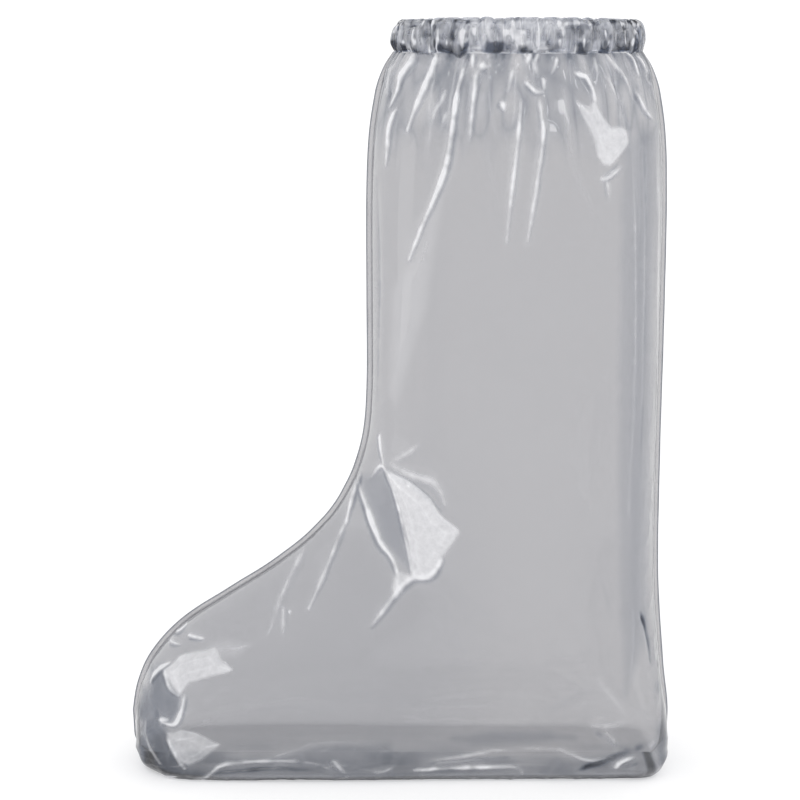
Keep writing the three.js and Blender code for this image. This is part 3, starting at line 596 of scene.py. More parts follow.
def facet_lift(shape, x, z):
    """Flat facets: inside each polygon the lift rises from every edge at the facet's slope up to its
    height, and the whole facet gets a painted highlight where its tone is above 0 and painted shade
    where it is below."""
    lift, white, dark = np.zeros_like(x), np.zeros_like(x), np.zeros_like(x)
    wobble = 0.7 * MM * noise(x, z, 8 * MM, 31)
    mottle = 0.88 + 0.14 * noise(x, z, 9 * MM, 32) + 0.08 * noise(x, z, 3 * MM, 33)
    for slope, height, tone, corners in FACETS:
        points = [shape.place(across, level) for across, level in corners]
        inside = np.zeros(x.shape, bool)
        away = np.full(x.shape, 1.0)
        for a, b in zip(points, points[1:] + points[:1]):
            span = b - a
            along = np.clip(((x - a[0]) * span[0] + (z - a[1]) * span[1]) / (span @ span), 0, 1)
            away = np.minimum(away, np.hypot(x - a[0] - along * span[0], z - a[1] - along * span[1]))
            crosses = (a[1] > z) != (b[1] > z)
            inside ^= crosses & (x < a[0] + (z - a[1]) * span[0] / np.where(span[1] == 0, 1e-9, span[1]))
        depth = np.where(inside, away, -away)
        lift += np.clip(slope * depth, 0, height * MM)
        strong = tone > 0.3
        soft = 0.9 * MM if strong else 3.5 * MM
        painted = abs(tone) * (mottle if strong else 1) * smoothstep(depth + wobble, -soft, soft)
        # A painted highlight over the facet where its tone is above 0, painted shade where it is below
        if tone > 0:
            white = np.maximum(white, painted)
        else:
            dark = dark + painted
    return lift, white, dark


def gather_lift(turn, below, gathers, seed):
    """The gathers that run down from the hem: fine ones that soon die out over longer, softer ones."""
    fine = (pleats(turn, below, gathers, GATHER_RUN, seed) - 0.5) * (1 - smoothstep(below, 0, 38 * MM))
    long = (pleats(turn, below, 34, 80 * MM, seed + 4) - 0.5) * (1 - smoothstep(below, 0, 95 * MM))
    return (1.7 * fine + 1.8 * long) * MM


def crumple_lift(shape, x, y, z, seed):
    """Small stiff crumples over slow swells: ridged noise, strongest round the toe, at the heel,
    along the back and where the side meets the floor."""
    low = 1 - smoothstep(z, 15 * MM, 45 * MM)
    toe = 1 - smoothstep(x, shape.ahead(1), shape.ahead(0.6))
    back = smoothstep(x, shape.shaft_back - 26 * MM, shape.shaft_back) * (1 - smoothstep(z, 0.12, 0.3))
    strength = 0.05 + 0.5 * low + 0.5 * toe + 0.5 * back
    fine = 0.8 * ridged(x + 0.4 * y, z, 19 * MM, seed)
    fine = fine + 0.5 * ridged(x, z + 0.3 * y, 9 * MM, seed + 1)
    slow = 1.3 * noise(x, z, 60 * MM, seed + 2) + 0.6 * noise(x, z, 33 * MM, seed + 3)
    return (fine * strength + slow * 0.6) * MM


def far_folds():
    """The folds of the far side: the near side's shaft folds turned front to back, and those of the
    heel and the sole, all of them fainter."""
    shaft_level, heel_share, sole_level = 1.3, 0.7, 0.12
    folds = []
    for wide, deep, tone, route in FOLDS:
        across, level = route[0]
        if level > shaft_level:
            turned = tuple((0.97 - a, b - 0.04 * (b - shaft_level)) for a, b in route)
            folds.append((wide, 0.7 * deep, 0.18 * tone, turned))
        elif across > heel_share or level < sole_level:
            faint = 0.2 * tone if tone > 0 else 0.03 * tone
            folds.append((wide, deep, faint, tuple((0.9 * a, b) for a, b in route)))
    return folds


class SidePanel:
    """One side panel's smooth film, and where each of its points lies: how far it is along its row,
    its turn round the hem, how far it is below the hem, and whether the hem leaves it free."""

    def __init__(self, shape, side):
        self.near = side > 0
        rows, columns = NEAR_GRID if self.near else FAR_GRID
        self.smooth = smooth_panel(shape, shape.even_places(rows + 1), columns + 1)
        self.normals = grid_normals(self.smooth)
        self.x, self.y, self.z = (self.smooth[..., axis] for axis in range(3))
        self.share = np.linspace(0, 1, columns + 1)[None, :]
        self.turn = np.broadcast_to(self.share / 2 if self.near else 1 - self.share / 2, self.x.shape)
        self.below = np.maximum(shape.film_top - self.z, 0)
        self.free = smoothstep(self.below, -1 * MM, 5 * MM)
        self.seed = NEAR_SEED if self.near else FAR_SEED


def folded_film(shape, panel):
    """The smooth panel moved along its normals by folds, facets, gathers and crumples, which vanish
    at the welded edges, and pressed flat by the floor. It also gives the painted highlight and
    painted shade of the folds and facets."""
    x, y, z = panel.x, panel.y, panel.z
    lift, white, dark = fold_lift(shape, x, z, FOLDS if panel.near else far_folds())
    # The facets' painted highlights and painted shade
    raised, facet_highlight, shaded = facet_lift(shape, x, z)
    if not panel.near:
        raised, facet_highlight, shaded = 0.5 * raised, 0.1 * facet_highlight, 0 * shaded
    # A place in the side view is also one near the weld and one under the sole, so the painted
    # highlight and shade fade out there
    facing = smoothstep(-y, 2 * MM, 9 * MM)
    facing = np.where(z < 4 * MM, smoothstep(-y, 38 * MM, 50 * MM), facing)
    white = soften(np.maximum(white, facet_highlight) * facing)
    dark = soften((dark + shaded) * facing)
    lift = soften(lift * panel.free + raised) + crumple_lift(shape, x, y, z, panel.seed + 7)
    arch = np.sin(np.pi * panel.share)
    lift = lift * smoothstep(arch, 0, 0.3)
    gathered = gather_lift(panel.turn, panel.below, shape.sizes.gathers, GATHER_SEED)
    lift = lift + gathered * smoothstep(arch, 0, 0.1)
    film = panel.smooth + panel.normals * lift[..., None]
    film[0, :, 2] = panel.smooth[0, :, 2]
    film[..., 1] = np.minimum(film[..., 1], -seam_face(film[..., 2]))
    for edge in (np.s_[:, 0], np.s_[:, -1], np.s_[-1]):
        film[edge] = panel.smooth[edge]
    film[..., 2] = np.maximum(film[..., 2], FLOOR_LIFT)
    return film, white, dark


def film_marks(shape, panel, film, white, dark):
    """How whitened the film is, from 0 to 1, and how many more layers of film it counts as. The
    whitening is painted highlight, partly the whitening of creased film: along folds and facets, at
    sharp bends, on stretched gathers and in a band where the side turns under. The extra layers are
    partly film folded over itself and partly painted shade: in its furrows, beside its folds, in
    shaded facets, in the pinched gathers under the hem, in the tucks of the toe and the heel, towards
    the floor over the foot, and where it turns under as the sole, most on the near side."""
    x, y, z, below, seed = panel.x, panel.y, panel.z, panel.below, panel.seed
    gathers = shape.sizes.gathers
    toe = 1 - smoothstep(x, shape.ahead(0.97), shape.ahead(0.8))
    toe = toe * (1 - smoothstep(z, 0.035, 0.1))
    # Painted highlight at sharp bends, partly the whitening of bent film
    bend = soften(grid_bend(film)) ** 1.5 * (1 - 0.7 * toe) * smoothstep(below, 1 * MM, 4 * MM)
    crest = pleats(panel.turn, below, gathers, GATHER_RUN, GATHER_SEED)
    # Painted highlight on the stretched crests of the gathers under the hem
    stretched = smoothstep(crest, 0.72, 0.95) * (1 - smoothstep(below, 12 * MM, 62 * MM)) * panel.free
    whitening_and_highlight = 0.3 * bend + white + 0.16 * stretched
    facing_down = -panel.normals[..., 2]
    streaky = 0.5 + 0.6 * noise(x / 4 + z, y, 6 * MM, seed + 22)
    # Painted shade where the film faces down as the sole, most on the near side
    sole_tone = mix(0.2, 1.4, smoothstep(-y, 0, 30 * MM) if panel.near else 0)
    sole = smoothstep(facing_down, 0.7, 0.97) * (0.45 + 0.5 * streaky) * sole_tone
    # Painted shade towards the floor over the foot
    low = (1 - smoothstep(z, 0.12, 0.24)) * (1 - smoothstep(x, 0.0, 0.08))
    # Painted shade of the dark fold lines and facets, partly film folded in furrows
    layers_and_shade = 0.1 * low + 1.8 * dark + sole
    if panel.near:
        # Painted shade in the crumpled tucks of the toe and the heel, partly folded film
        blot = 0.5 + 0.9 * noise(x, z, 14 * MM, seed + 20) + 0.5 * noise(x, z, 6 * MM, seed + 21)
        blot = np.maximum(blot, 0)
        heel = smoothstep(x, shape.shaft_back - 6 * MM, shape.shaft_back + 4 * MM)
        heel = heel * (1 - smoothstep(z, 0.04, 0.12))
        # Painted shade in a band where the side turns under, a dark bottom outline
        rim = smoothstep(facing_down, 0.78, 0.9) * (1 - smoothstep(facing_down, 0.965, 0.99))
        # Random darker mottle near the floor
        low_mottle = np.maximum(noise(x / 6, z, 5 * MM, seed + 30) + 0.2, 0)
        low_mottle = low_mottle * (1 - smoothstep(z, 14 * MM, 30 * MM))
        layers_and_shade = layers_and_shade + (1.3 * toe + 0.9 * heel) * blot + 4.4 * rim + 0.6 * low_mottle
        # Painted highlight in a band where the side starts to turn under
        pale = smoothstep(facing_down, 0.45, 0.6) * (1 - smoothstep(facing_down, 0.7, 0.8))
        whitening_and_highlight = whitening_and_highlight + 0.1 * pale
    # Painted shade in the pinched valleys of the gathers under the hem, partly folded film
    pinch = 1.5 * (1 - smoothstep(below, 0, 9 * MM)) + 1.1 * (1 - smoothstep(below, 20 * MM, 70 * MM))
    layers_and_shade = layers_and_shade + pinch * (1 - crest) ** 2
    return np.clip(whitening_and_highlight, 0, 1), layers_and_shade


def grid_bend(grid):
    """How sharply the surface bends, from 0 to 1: the change of its normals over a millimetre."""
    normals = grid_normals(grid)
    change = np.zeros(grid.shape[:2])
    for axis in (0, 1):
        turn = np.linalg.norm(np.gradient(normals, axis=axis), axis=2)
        step = np.linalg.norm(np.gradient(grid, axis=axis), axis=2)
        change = np.maximum(change, turn / np.maximum(step, 0.5 * MM) * MM)
    return np.clip(change / 0.35, 0, 1)


def grid_object(name, points, closed_round=False, closed_path=False, flip=False):
    """A mesh of quads over a grid of points, with a UV map of its two parameters. The grid may join
    its last column to its first, or its last row to its first."""
    rows, columns = points.shape[:2]
    index = np.arange(rows * columns).reshape(rows, columns)
    right = np.roll(index, -1, axis=1) if closed_round else index[:, 1:]
    left = index if closed_round else index[:, :-1]
    if closed_path:
        a, b, c, d = left, np.roll(left, -1, axis=0), np.roll(right, -1, axis=0), right
    else:
        a, b, c, d = left[:-1], left[1:], right[1:], right[:-1]
    quads = np.stack([a, b, c, d], 2).reshape(-1, 4)
    if flip:
        quads = quads[:, ::-1]
    mesh = bpy.data.meshes.new(name)
    mesh.vertices.add(rows * columns)
    mesh.vertices.foreach_set("co", points.reshape(-1).astype(np.float32))
    mesh.loops.add(quads.size)
    mesh.loops.foreach_set("vertex_index", quads.reshape(-1).astype(np.int32))
    mesh.polygons.add(len(quads))
    mesh.polygons.foreach_set("loop_start", np.arange(0, quads.size, 4, dtype=np.int32))
    mesh.update(calc_edges=True)
    mesh.polygons.foreach_set("use_smooth", np.ones(len(quads), bool))
    uv = mesh.uv_layers.new(name="Grid")
    across = (quads % columns) / columns
    along = (quads // columns) / rows
    uv.data.foreach_set("uv", np.stack([across, along], 2).reshape(-1).astype(np.float32))
    mesh.validate()
    piece = bpy.data.objects.new(name, mesh)
    bpy.context.scene.collection.objects.link(piece)
    return piece


def point_value(piece, name, values):
    """A number at each vertex that the materials read."""
    attribute = piece.data.attributes.new(name, "FLOAT", "POINT")
    attribute.data.foreach_set("value", values.reshape(-1).astype(np.float32))


def finish_piece(piece, material, slot, *nodes):
    """Puts the material on, hides the frame's parts that the piece replaces, and makes it ride on the
    root body. The slot is not used."""
    piece.data.materials.append(material)
    if nodes:
        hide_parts(*nodes)
    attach(piece, "root")


class Nodes:
    """A short way to add shader nodes and link their sockets."""

    def __init__(self, name):
        self.material = bpy.data.materials.new(name)
        self.material.use_nodes = True
        self.tree = self.material.node_tree
        self.tree.nodes.clear()

    def add(self, kind, inputs=(), **settings):
        """A new node. An input takes a link from a socket, or else a value."""
        node = self.tree.nodes.new(kind)
        for key, value in settings.items():
            setattr(node, key, value)
        for key, value in dict(inputs).items():
            if isinstance(value, bpy.types.NodeSocket):
                self.tree.links.new(value, node.inputs[key])
            else:
                node.inputs[key].default_value = value
        return node

    def math(self, operation, a, b=0.0, clamp=False):
        """One arithmetic step on two sockets or numbers."""
        return self.add("ShaderNodeMath", {0: a, 1: b}, operation=operation, use_clamp=clamp).outputs[0]

    def output(self, shader):
        """Links the finished shader, and gives the material."""
        self.add("ShaderNodeOutputMaterial", {"Surface": shader})
        return self.material


def rgba(colour):
    """The colour with an alpha of 1."""
    return (*colour, 1.0)


def film_material(name, clear, look, roughness):
    """Glossy see-through film. It lets through its clear colour, times its folded colour for each
    extra layer, the layers partly standing for painted shade, and less where it is seen at a slant.
    Creases whiten it, mostly as painted highlight. Its shine rises with the fifth power of the slant,
    as in Schlick's law, and falls in film of several layers, whose tucks shade each other."""
    n = Nodes(name)
    facing = n.add("ShaderNodeLayerWeight", {"Blend": 0.5}).outputs["Facing"]
    slant = n.math("POWER", facing, 5.0)
    place = n.add("ShaderNodeTexCoord").outputs["Object"]
    cloud = n.add("ShaderNodeTexNoise", {"Vector": place, "Scale": 11.0, "Detail": 5.0, "Roughness": 0.6})
    fine = n.add("ShaderNodeTexNoise", {"Vector": place, "Scale": 260.0, "Detail": 4.0, "Roughness": 0.6})
    streak_map = n.add("ShaderNodeMapping", {"Vector": place, "Scale": (50.0, 50.0, 7.0)})
    streak = n.add("ShaderNodeTexNoise", {"Vector": streak_map.outputs[0], "Scale": 1.0, "Detail": 3.0})
    # Extra layers of film, which also carry painted shade
    layers_and_shade = n.add("ShaderNodeAttribute", attribute_name="layers_and_shade").outputs["Fac"]
    edge_on = n.math("MULTIPLY", slant, 0.3)
    thin = n.math("SUBTRACT", 1.0, edge_on)
    tint = [
        n.math("MULTIPLY", n.math("MULTIPLY", once, n.math("POWER", again, layers_and_shade)), thin)
        for once, again in zip(clear, look.folded)
    ]
    passed = n.add("ShaderNodeCombineColor", {0: tint[0], 1: tint[1], 2: tint[2]}).outputs[0]
    through = n.add("ShaderNodeBsdfTransparent", {"Color": passed}).outputs[0]
    # Whitening, mostly painted highlight
    whitening_and_highlight = n.add("ShaderNodeAttribute", attribute_name="whitening_and_highlight").outputs["Fac"]
    grain = n.math("ADD", n.math("MULTIPLY", fine.outputs["Fac"], 0.7), 0.65)
    whitened = n.math("MULTIPLY", whitening_and_highlight, grain)
    clouded = n.math("MULTIPLY", n.math("POWER", cloud.outputs["Fac"], 3.0), look.cloud)
    hazy_and_highlit = n.math("ADD", whitened, clouded, clamp=True)
    bump_height = n.math("ADD", n.math("MULTIPLY", fine.outputs["Fac"], 0.12), streak.outputs["Fac"])
    bump = n.add("ShaderNodeBump", {
        "Height": bump_height, "Strength": 0.12, "Distance": 0.0005}).outputs[0]
    # The whitening shows clouding and painted highlight alike
    diffuse = n.add("ShaderNodeBsdfDiffuse", {"Color": rgba(look.haze_and_highlight), "Normal": bump}).outputs[0]
    glow = n.add("ShaderNodeBsdfTranslucent", {"Color": rgba(look.haze_and_highlight)}).outputs[0]
    haze_and_highlight = n.add("ShaderNodeMixShader", {0: 0.5, 1: diffuse, 2: glow}).outputs[0]
    body = n.add("ShaderNodeMixShader", {0: hazy_and_highlit, 1: through, 2: haze_and_highlight}).outputs[0]
    shine = n.add("ShaderNodeBsdfGlossy", {"Color": (1, 1, 1, 1), "Roughness": roughness, "Normal": bump})
    mirror = n.math("ADD", look.shine, n.math("MULTIPLY", slant, 0.85))
    dull = n.math("SUBTRACT", 1.0, n.math("MULTIPLY", layers_and_shade, 0.18), clamp=True)
    mirror = n.math("MULTIPLY", mirror, dull)
    return n.output(n.add("ShaderNodeMixShader", {0: mirror, 1: body, 2: shine.outputs[0]}).outputs[0])


def elastic_material(look):
    """Pale braided elastic: fine ribs along its width, a soft sheen and a little light through it."""
    n = Nodes("elastic")
    uv = n.add("ShaderNodeUVMap", uv_map="Grid").outputs[0]
    ribs = n.add("ShaderNodeMapping", {"Vector": uv, "Scale": (8.0, 420.0, 1.0)})
    wave = n.add("ShaderNodeTexWave", {"Vector": ribs.outputs[0], "Scale": 1.0, "Distortion": 0.6},
                 bands_direction="Y")
    bump = n.add("ShaderNodeBump", {"Height": wave.outputs["Fac"], "Strength": 0.5, "Distance": 0.0004})
    tone = n.add("ShaderNodeMix", {"Factor": wave.outputs["Fac"]}, data_type="RGBA")
    tone.inputs[6].default_value = rgba([c * 0.8 for c in look.elastic])
    tone.inputs[7].default_value = rgba(look.elastic)
    base = n.add("ShaderNodeBsdfPrincipled", {
        "Base Color": tone.outputs[2], "Roughness": 0.55, "Normal": bump.outputs[0]})
    clear = n.add("ShaderNodeBsdfTransparent", {"Color": (0.9, 0.91, 0.93, 1)})
    mixed = n.add("ShaderNodeMixShader", {0: 0.3, 1: clear.outputs[0], 2: base.outputs[0]})
    return n.output(mixed.outputs[0])


def floor_material(look):
    """A pale matt studio floor, lit from below as well."""
    n = Nodes("studio_floor")
    place = n.add("ShaderNodeTexCoord").outputs["Object"]
    grain = n.add("ShaderNodeTexNoise", {"Vector": place, "Scale": 3.0, "Detail": 2.0})
    tone = n.add("ShaderNodeMix", {"Factor": grain.outputs["Fac"]}, data_type="RGBA")
    tone.inputs[6].default_value = rgba([c * 0.985 for c in look.floor])
    tone.inputs[7].default_value = rgba(look.floor)
    matt = n.add("ShaderNodeBsdfDiffuse", {"Color": tone.outputs[2]}).outputs[0]
    glow = n.add("ShaderNodeEmission", {"Color": tone.outputs[2], "Strength": FLOOR_GLOW}).outputs[0]
    return n.output(n.add("ShaderNodeAddShader", {0: matt, 1: glow}).outputs[0])


class COVER_OT_side_panels(bpy.types.Operator):
    """Build the two film side panels"""

    bl_idname = "boot_cover.side_panels"
    bl_label = "Side panels"

    def execute(self, context):
        shape = Shape(context.scene.cover_sizes)
        look = context.scene.cover_look
        material = film_material("film", look.clear, look, look.gloss)
        for names, node, side in ((BANDS, "near_panel", 1), (("far_film",), "far_panel", -1)):
            panel = SidePanel(shape, side)
            film, white, dark = folded_film(shape, panel)
            whitening_and_highlight, layers_and_shade = film_marks(shape, panel, film, white, dark)
            film = film * (1, side, 1)
            normals = grid_normals(film) * side
            for name, rows in zip(names, np.array_split(np.arange(len(film) - 1), len(names))):
                band = slice(rows[0], rows[-1] + 2)
                piece = grid_object(name, film[band], flip=side < 0)
                piece.data.normals_split_custom_set_from_vertices(normals[band].reshape(-1, 3))
                point_value(piece, "whitening_and_highlight", whitening_and_highlight[band])
                point_value(piece, "layers_and_shade", layers_and_shade[band])
                finish_piece(piece, material, "film", node)
        return {"FINISHED"}


def outline_path(shape, count):
    """The film's outline in the middle plane, down the front, round the toe and back along the sole
    and up the back, evenly spaced, with its outward direction."""
    front, back, _, _ = shape.lines(shape.even_places(OUTLINE_PLACES))
    tip = mix(front[-1], back[-1], np.linspace(0, 1, TIP_STEPS)[1:-1, None])
    line = np.concatenate([front, tip, back[::-1]])
    points = evenly(np.stack([line[:, 0], np.zeros(len(line)), line[:, 1]], 1), count)
    tangent = np.gradient(points, axis=0)
    tangent /= np.linalg.norm(tangent, axis=1, keepdims=True)
    outward = np.stack([tangent[:, 2], np.zeros(count), -tangent[:, 0]], 1)
    return points, outward


def weld_strip(shape):
    """The welded edge as a grid, along the outline and round its flat section, with its marks. It
    stands out from the outline, a little wavy, and it narrows and leans over to the side under the
    sole. Near the hem it is drawn in."""
    points, outward = outline_path(shape, WELD_STEPS)
    run = np.linspace(0, 1, len(points))
    stands = smoothstep(points[:, 2], 1.5 * MM, 14 * MM)[:, None]
    drawn_in = smoothstep(shape.film_top - points[:, 2], -1 * MM, 24 * MM)[:, None]
    width = shape.sizes.seam_width * (0.25 + 0.75 * drawn_in) * (0.08 + 0.92 * stands)
    wave = (0.25 * np.sin(run * 260) + 0.2 * np.sin(run * 97 + 1))[:, None] * MM * stands
    sideways = np.array([[0.0, -1.0, 0.0]])
    lean = outward * stands + sideways * (1 - stands)
    lean /= np.linalg.norm(lean, axis=1, keepdims=True)
    thin = np.cross(lean, np.gradient(points, axis=0))
    thin /= np.linalg.norm(thin, axis=1, keepdims=True)
    profile = WELD_PROFILE + tuple((share, -half, more) for share, half, more in WELD_PROFILE[::-1])
    rings = []
    for share, half, _ in profile:
        side = thin * (half * 0.5 * MM) + sideways * (wave * max(share, 0))
        rings.append(points + lean * (share * width) + side)
    grid = np.stack(rings, 1)
    grid[..., 2] = np.maximum(grid[..., 2], 0.02 * MM)
    layers = np.array([[more for _, _, more in profile]])
    return grid, 0.06 * stands + 0 * layers, mix(-0.4, layers, stands)


class COVER_OT_weld_seam(bpy.types.Operator):
    """Build the welded edge round the outline"""

    bl_idname = "boot_cover.weld_seam"
    bl_label = "Welded edge"

    def execute(self, context):
        shape = Shape(context.scene.cover_sizes)
        look = context.scene.cover_look
        grid, whitening_and_highlight, layers_and_shade = weld_strip(shape)
        piece = grid_object("weld_edge", grid, closed_round=True)
        close_ends(piece, grid.shape[1], grid.shape[0])
        point_value(piece, "whitening_and_highlight", whitening_and_highlight)
        point_value(piece, "layers_and_shade", layers_and_shade)
        material = film_material("weld", look.clear, look, WELD_ROUGHNESS)
        finish_piece(piece, material, "weld", "weld_seam")
        face_out(piece)
        return {"FINISHED"}


def close_ends(piece, ring, steps):
    """Closes the first and last ring of a tube with one face each."""
    faces = [list(range(ring))[::-1], [ring * (steps - 1) + k for k in range(ring)]]
    mesh = piece.data
    start = len(mesh.loops)
    mesh.loops.add(2 * ring)
    mesh.polygons.add(2)
    for number, face in enumerate(faces):
        polygon = mesh.polygons[len(mesh.polygons) - 2 + number]
        polygon.loop_start = start + number * ring
        for k, vertex in enumerate(face):
            mesh.loops[start + number * ring + k].vertex_index = vertex
    mesh.update(calc_edges=True)
    mesh.validate()


def face_out(piece):
    """Turns a closed piece's faces outwards if its volume comes out negative."""
    mesh = piece.data
    mesh.calc_loop_triangles()
    points = np.zeros(len(mesh.vertices) * 3, np.float32)
    corners = np.zeros(len(mesh.loop_triangles) * 3, np.int32)
    mesh.vertices.foreach_get("co", points)
    mesh.loop_triangles.foreach_get("vertices", corners)
    a, b, c = points.reshape(-1, 3)[corners].reshape(-1, 3, 3).transpose(1, 0, 2)
    if np.einsum("ij,ij->", a, np.cross(b, c)) < 0:
        mesh.flip_normals()


def hem_places(shape, count):
    """Evenly spaced places round the film's top edge, an ellipse, their outward directions and
    their turns from 0 to 1."""
    angle = np.linspace(0, 2 * np.pi, RING_STEPS + 1)
    half_width = shape.sizes.cuff_width / 2 + SEAM_FACE
    ring = np.stack([
        shape.middle - shape.sizes.cuff_length / 2 * np.cos(angle),
        -half_width * np.sin(angle),
        np.zeros_like(angle),
    ], 1)
    points = evenly(ring, count + 1)[:-1]
    across = np.array([shape.sizes.cuff_length, shape.sizes.cuff_width, 1])
    outward = (points - (shape.middle, 0, 0)) / across ** 2
    outward /= np.linalg.norm(outward, axis=1, keepdims=True)
    return points, outward, np.arange(count) / count


def hem_pattern(name, turn, down):
    """One of the hem's patterns: noise with a whole number of cells round the hem."""
    cells, tall, seed = HEM_PATTERNS[name]
    return noise(turn * cells, down / (tall * MM), 1.0, seed, cells)


def hem_film(shape):
    """The gathered hem as a grid, round the hem and over its profile, with its marks. The profile is
    puffed out by two sizes of gathers and by knots, its top is ruffled, and its lower edge droops
    here and there. Its lower edge follows the panels' own gathers."""
    sizes = shape.sizes
    columns, rows = HEM_GRID
    points, outward, turn = hem_places(shape, columns)
    out, up, gather = (value[None, :] for value in spline(HEM_PROFILE, np.linspace(0, 1, rows)).T)
    turn = turn[:, None] + 0 * up
    inner = smoothstep(-out, 0.2, 0.8)
    down = -sizes.cuff_height * up - GATHER_RUN * inner
    edge_gathers = pleats(turn, 0 * down, sizes.gathers, GATHER_RUN, GATHER_SEED)
    broad = pleats(turn, down, sizes.gathers, GATHER_RUN, GATHER_SEED)
    narrow = pleats(turn, down, 99, 12 * MM, 41)
    knots = hem_pattern("knots", turn, down)
    rise = smoothstep(up, 0, 0.3)
    puff = 2.6 * (broad - 0.55) + 1.1 * (narrow - 0.45) + 0.6 * knots
    side = np.clip(out * 2.5, -1, 1)
    edge = 1.7 * (edge_gathers - 0.5) * (1 - rise) * smoothstep(out, 0, 0.5)
    puffed = (out - HEM_EDGE) * sizes.cuff_bulge + (gather * puff * side * rise + edge) * MM
    ends = np.cos(2 * np.pi * turn) ** 4
    ruffle = -2.0 * MM * (1 - broad) ** 2 - 0.9 * MM * (1 - narrow) ** 2 - 1.5 * MM * ends - 0.1 * MM
    level = sizes.cuff_height * up + ruffle * smoothstep(up, 0.5, 1.0)
    droop = (-2.2 * np.maximum(noise(turn * 44, 0 * up, 1.0, 49, 44), 0) + 0.8 * knots) * MM
    grid = points[:, None, :] + outward[:, None, :] * puffed[..., None]
    grid[..., 2] = shape.film_top + np.minimum(level + droop * (1 - rise), sizes.cuff_height)
    return grid, *hem_marks(grid, turn, down, out, up, broad, narrow)


def hem_marks(grid, turn, down, out, up, broad, narrow):
    """How whitened the hem is, from 0 to 1, and how many more layers of film it counts as. Only its
    outer side is marked: painted shade is a ragged line along its foot, a brow under its top and
    streaks in its gathers, strongest at the hem's two ends, and painted glints and a milky mottle show
    between them, with painted highlight at sharp bends by its foot. The shade is partly the hem's film
    folded over itself."""
    outside = smoothstep(out, -0.1, 0.2)
    ends = np.cos(2 * np.pi * turn)
    sides = 0.35 + 0.65 * np.abs(ends) ** 1.5
    mottle = hem_pattern("mottle", turn, down)
    spots = hem_pattern("spots", turn, down)
    blot = smoothstep(noise(turn * 84, up, 1.0, 51, 84), -0.35, 0.45)
    ragged = up + 0.16 * spots + 0.1 * mottle
    low_line = smoothstep(up, -0.02, 0.06) * (1 - smoothstep(ragged, 0.12, 0.38)) * blot
    brow = 0.4 * smoothstep(up, 0.84, 0.95) * (0.6 + 0.4 * mottle)
    streaks = 0.8 * (1 - broad) ** 4 + 0.9 * (1 - narrow) ** 3 + 0.8 * smoothstep(spots, 0.25, 0.75)
    # Painted shade, partly the hem's film folded over itself
    shade = np.clip((low_line + sides * streaks + brow) * outside, 0, 1)
    # Painted glints
    glint = smoothstep(hem_pattern("glints", turn, down), 0.5, 0.8)
    milky = 0.19 + 0.16 * hem_pattern("milk", turn, down)
    # Painted highlight at sharp bends by the hem's foot
    milky = milky + 0.5 * grid_bend(grid) ** 1.5 * smoothstep(up, 0, 0.15)
    whitening_and_highlight = (milky + 1.3 * sides * glint) * (1 - 0.9 * shade) * outside
    layers_and_shade = 3.7 * shade + 1.1 * np.maximum(mottle + 0.1, 0) * outside + 0.8 * ends ** 4
    return np.clip(whitening_and_highlight, 0, 1), layers_and_shade


class COVER_OT_cuff(bpy.types.Operator):
    """Build the gathered hem that holds the elastic"""

    bl_idname = "boot_cover.cuff"
    bl_label = "Gathered hem"

    def execute(self, context):
        shape = Shape(context.scene.cover_sizes)
        look = context.scene.cover_look
        grid, whitening_and_highlight, layers_and_shade = hem_film(shape)
        piece = grid_object("hem_film", grid, closed_path=True)
        point_value(piece, "whitening_and_highlight", whitening_and_highlight)
        point_value(piece, "layers_and_shade", layers_and_shade)
        material = film_material("hem", look.hem, look, look.gloss)
        finish_piece(piece, material, "film", "cuff_casing")
        return {"FINISHED"}


def elastic_loop(shape):
    """The elastic as a grid, round the hem and round its own section, a rounded upright oblong. It
    ripples in and out as the gathers pull it."""
    points, outward, turn = hem_places(shape, ELASTIC_STEPS)
    half_height = (ELASTIC_HIGH[2] - ELASTIC_LOW[2]) / 2
    centre_z = (ELASTIC_HIGH[2] + ELASTIC_LOW[2]) / 2
    centre = (ELASTIC_HIGH[0] - ELASTIC_LOW[0] - shape.sizes.cuff_length) / 2 - 0.7 * MM
    angle = np.linspace(0, 2 * np.pi, ELASTIC_CORNERS + 1)[:-1]
    out = ELASTIC_HALF * np.sign(np.cos(angle)) * np.abs(np.cos(angle)) ** 0.5
    up = half_height * np.sign(np.sin(angle)) * np.abs(np.sin(angle)) ** 0.5
    ripple = 0.25 * MM * np.sin(2 * np.pi * turn * ELASTIC_RIPPLES)
    reach = centre + out[None, :] + ripple[:, None]
    grid = points[:, None, :] + outward[:, None, :] * reach[..., None]
    grid[..., 2] = centre_z + up[None, :]
    return grid


class COVER_OT_elastic(bpy.types.Operator):
    """Build the elastic band inside the hem"""

    bl_idname = "boot_cover.elastic"
    bl_label = "Elastic band"

    def execute(self, context):
        grid = elastic_loop(Shape(context.scene.cover_sizes))
        piece = grid_object("elastic", grid, closed_round=True, closed_path=True)
        face_out(piece)
        finish_piece(piece, elastic_material(context.scene.cover_look), "elastic", "elastic_band")
        return {"FINISHED"}


def add_floor(look):
    """A disc of floor that is wider than any view."""
    bpy.ops.mesh.primitive_circle_add(
        vertices=96, radius=FLOOR_RADIUS, fill_type="NGON", location=(0, 0, 0))
    floor = bpy.context.object
    floor.name = "studio_floor"
    floor.data.materials.append(floor_material(look))


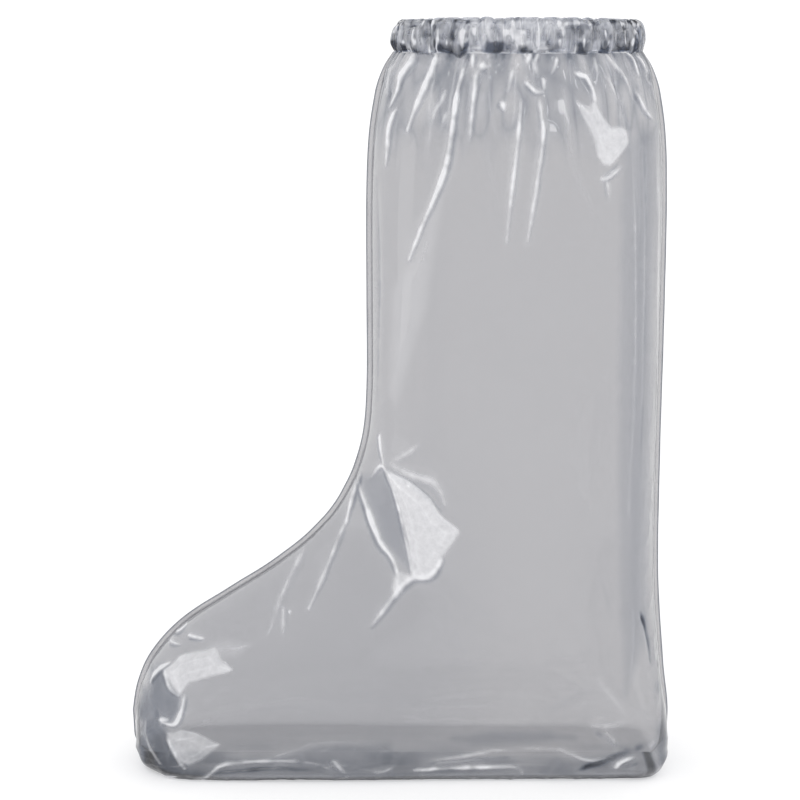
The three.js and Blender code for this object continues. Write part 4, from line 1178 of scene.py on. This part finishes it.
def add_card(name, across, up, azimuth, elevation, distance, brightness):
    """A glowing card at a place on a sphere round the aim, turned to face it. Only shine shows it."""
    turn, rise = np.radians(azimuth), np.radians(elevation)
    flat = distance * np.cos(rise)
    bpy.ops.mesh.primitive_plane_add(size=1)
    card = bpy.context.object
    card.name = name
    card.scale = (across, up, 1)
    card.location = AIM + Vector((flat * np.sin(turn), -flat * np.cos(turn), distance * np.sin(rise)))
    card.rotation_euler = (card.location - AIM).to_track_quat("Z", "Y").to_euler()
    card.visible_camera = False
    card.visible_diffuse = False
    card.visible_transmission = False
    card.visible_shadow = False
    n = Nodes(name)
    glow = n.add("ShaderNodeEmission", {"Strength": brightness}).outputs[0]
    card.data.materials.append(n.output(glow))


def add_camera(scene):
    """The photograph's view: from the near side, at the height of the rim, looking down."""
    data = bpy.data.cameras.new("camera")
    data.lens = CAMERA_LENS
    camera = bpy.data.objects.new("camera", data)
    camera.location = (0.0, -CAMERA_DISTANCE, scene.cover_sizes.height)
    camera.rotation_euler = (np.radians(90 - CAMERA_DOWN), 0, 0)
    scene.collection.objects.link(camera)
    scene.camera = camera


class COVER_OT_stage(bpy.types.Operator):
    """Set up the floor, the studio cards and the camera"""

    bl_idname = "boot_cover.stage"
    bl_label = "Stage"

    def execute(self, context):
        scene = context.scene
        add_floor(scene.cover_look)
        world = bpy.data.worlds.new("studio")
        world.use_nodes = True
        background = world.node_tree.nodes["Background"]
        background.inputs["Color"].default_value = (1.0, 1.0, 1.0, 1.0)
        background.inputs["Strength"].default_value = WORLD_LIGHT
        scene.world = world
        for card in CARDS:
            add_card(*card)
        add_camera(scene)
        scene.view_settings.view_transform = "Standard"
        scene.cycles.transparent_max_bounces = FILM_LAYERS
        return {"FINISHED"}


OPERATORS = (
    COVER_OT_side_panels,
    COVER_OT_weld_seam,
    COVER_OT_cuff,
    COVER_OT_elastic,
    COVER_OT_stage,
)


class COVER_PT_panel(bpy.types.Panel):
    """The sidebar panel that lists the pieces, sizes and colours"""

    bl_idname = "COVER_PT_panel"
    bl_label = "Boot Cover"
    bl_space_type = "VIEW_3D"
    bl_region_type = "UI"
    bl_category = "Boot Cover"

    def draw(self, context):
        for operator in OPERATORS:
            self.layout.operator(operator.bl_idname)
        for group in (context.scene.cover_sizes, context.scene.cover_look):
            box = self.layout.box()
            for name in group.bl_rna.properties.keys():
                if name not in ("rna_type", "name"):
                    box.prop(group, name)


def register():
    """Registers the property groups, the operators and the panel."""
    for item in (CoverSizes, CoverLook, *OPERATORS, COVER_PT_panel):
        bpy.utils.register_class(item)
    bpy.types.Scene.cover_sizes = bpy.props.PointerProperty(type=CoverSizes)
    bpy.types.Scene.cover_look = bpy.props.PointerProperty(type=CoverLook)


def unregister():
    """Removes what register added."""
    del bpy.types.Scene.cover_look
    del bpy.types.Scene.cover_sizes
    for item in (COVER_PT_panel, *OPERATORS[::-1], CoverLook, CoverSizes):
        bpy.utils.unregister_class(item)


def main():
    """Builds the pieces in order."""
    register()
    for operator in OPERATORS:
        group, name = operator.bl_idname.split(".")
        getattr(getattr(bpy.ops, group), name)()


if __name__ == "__main__":
    main()
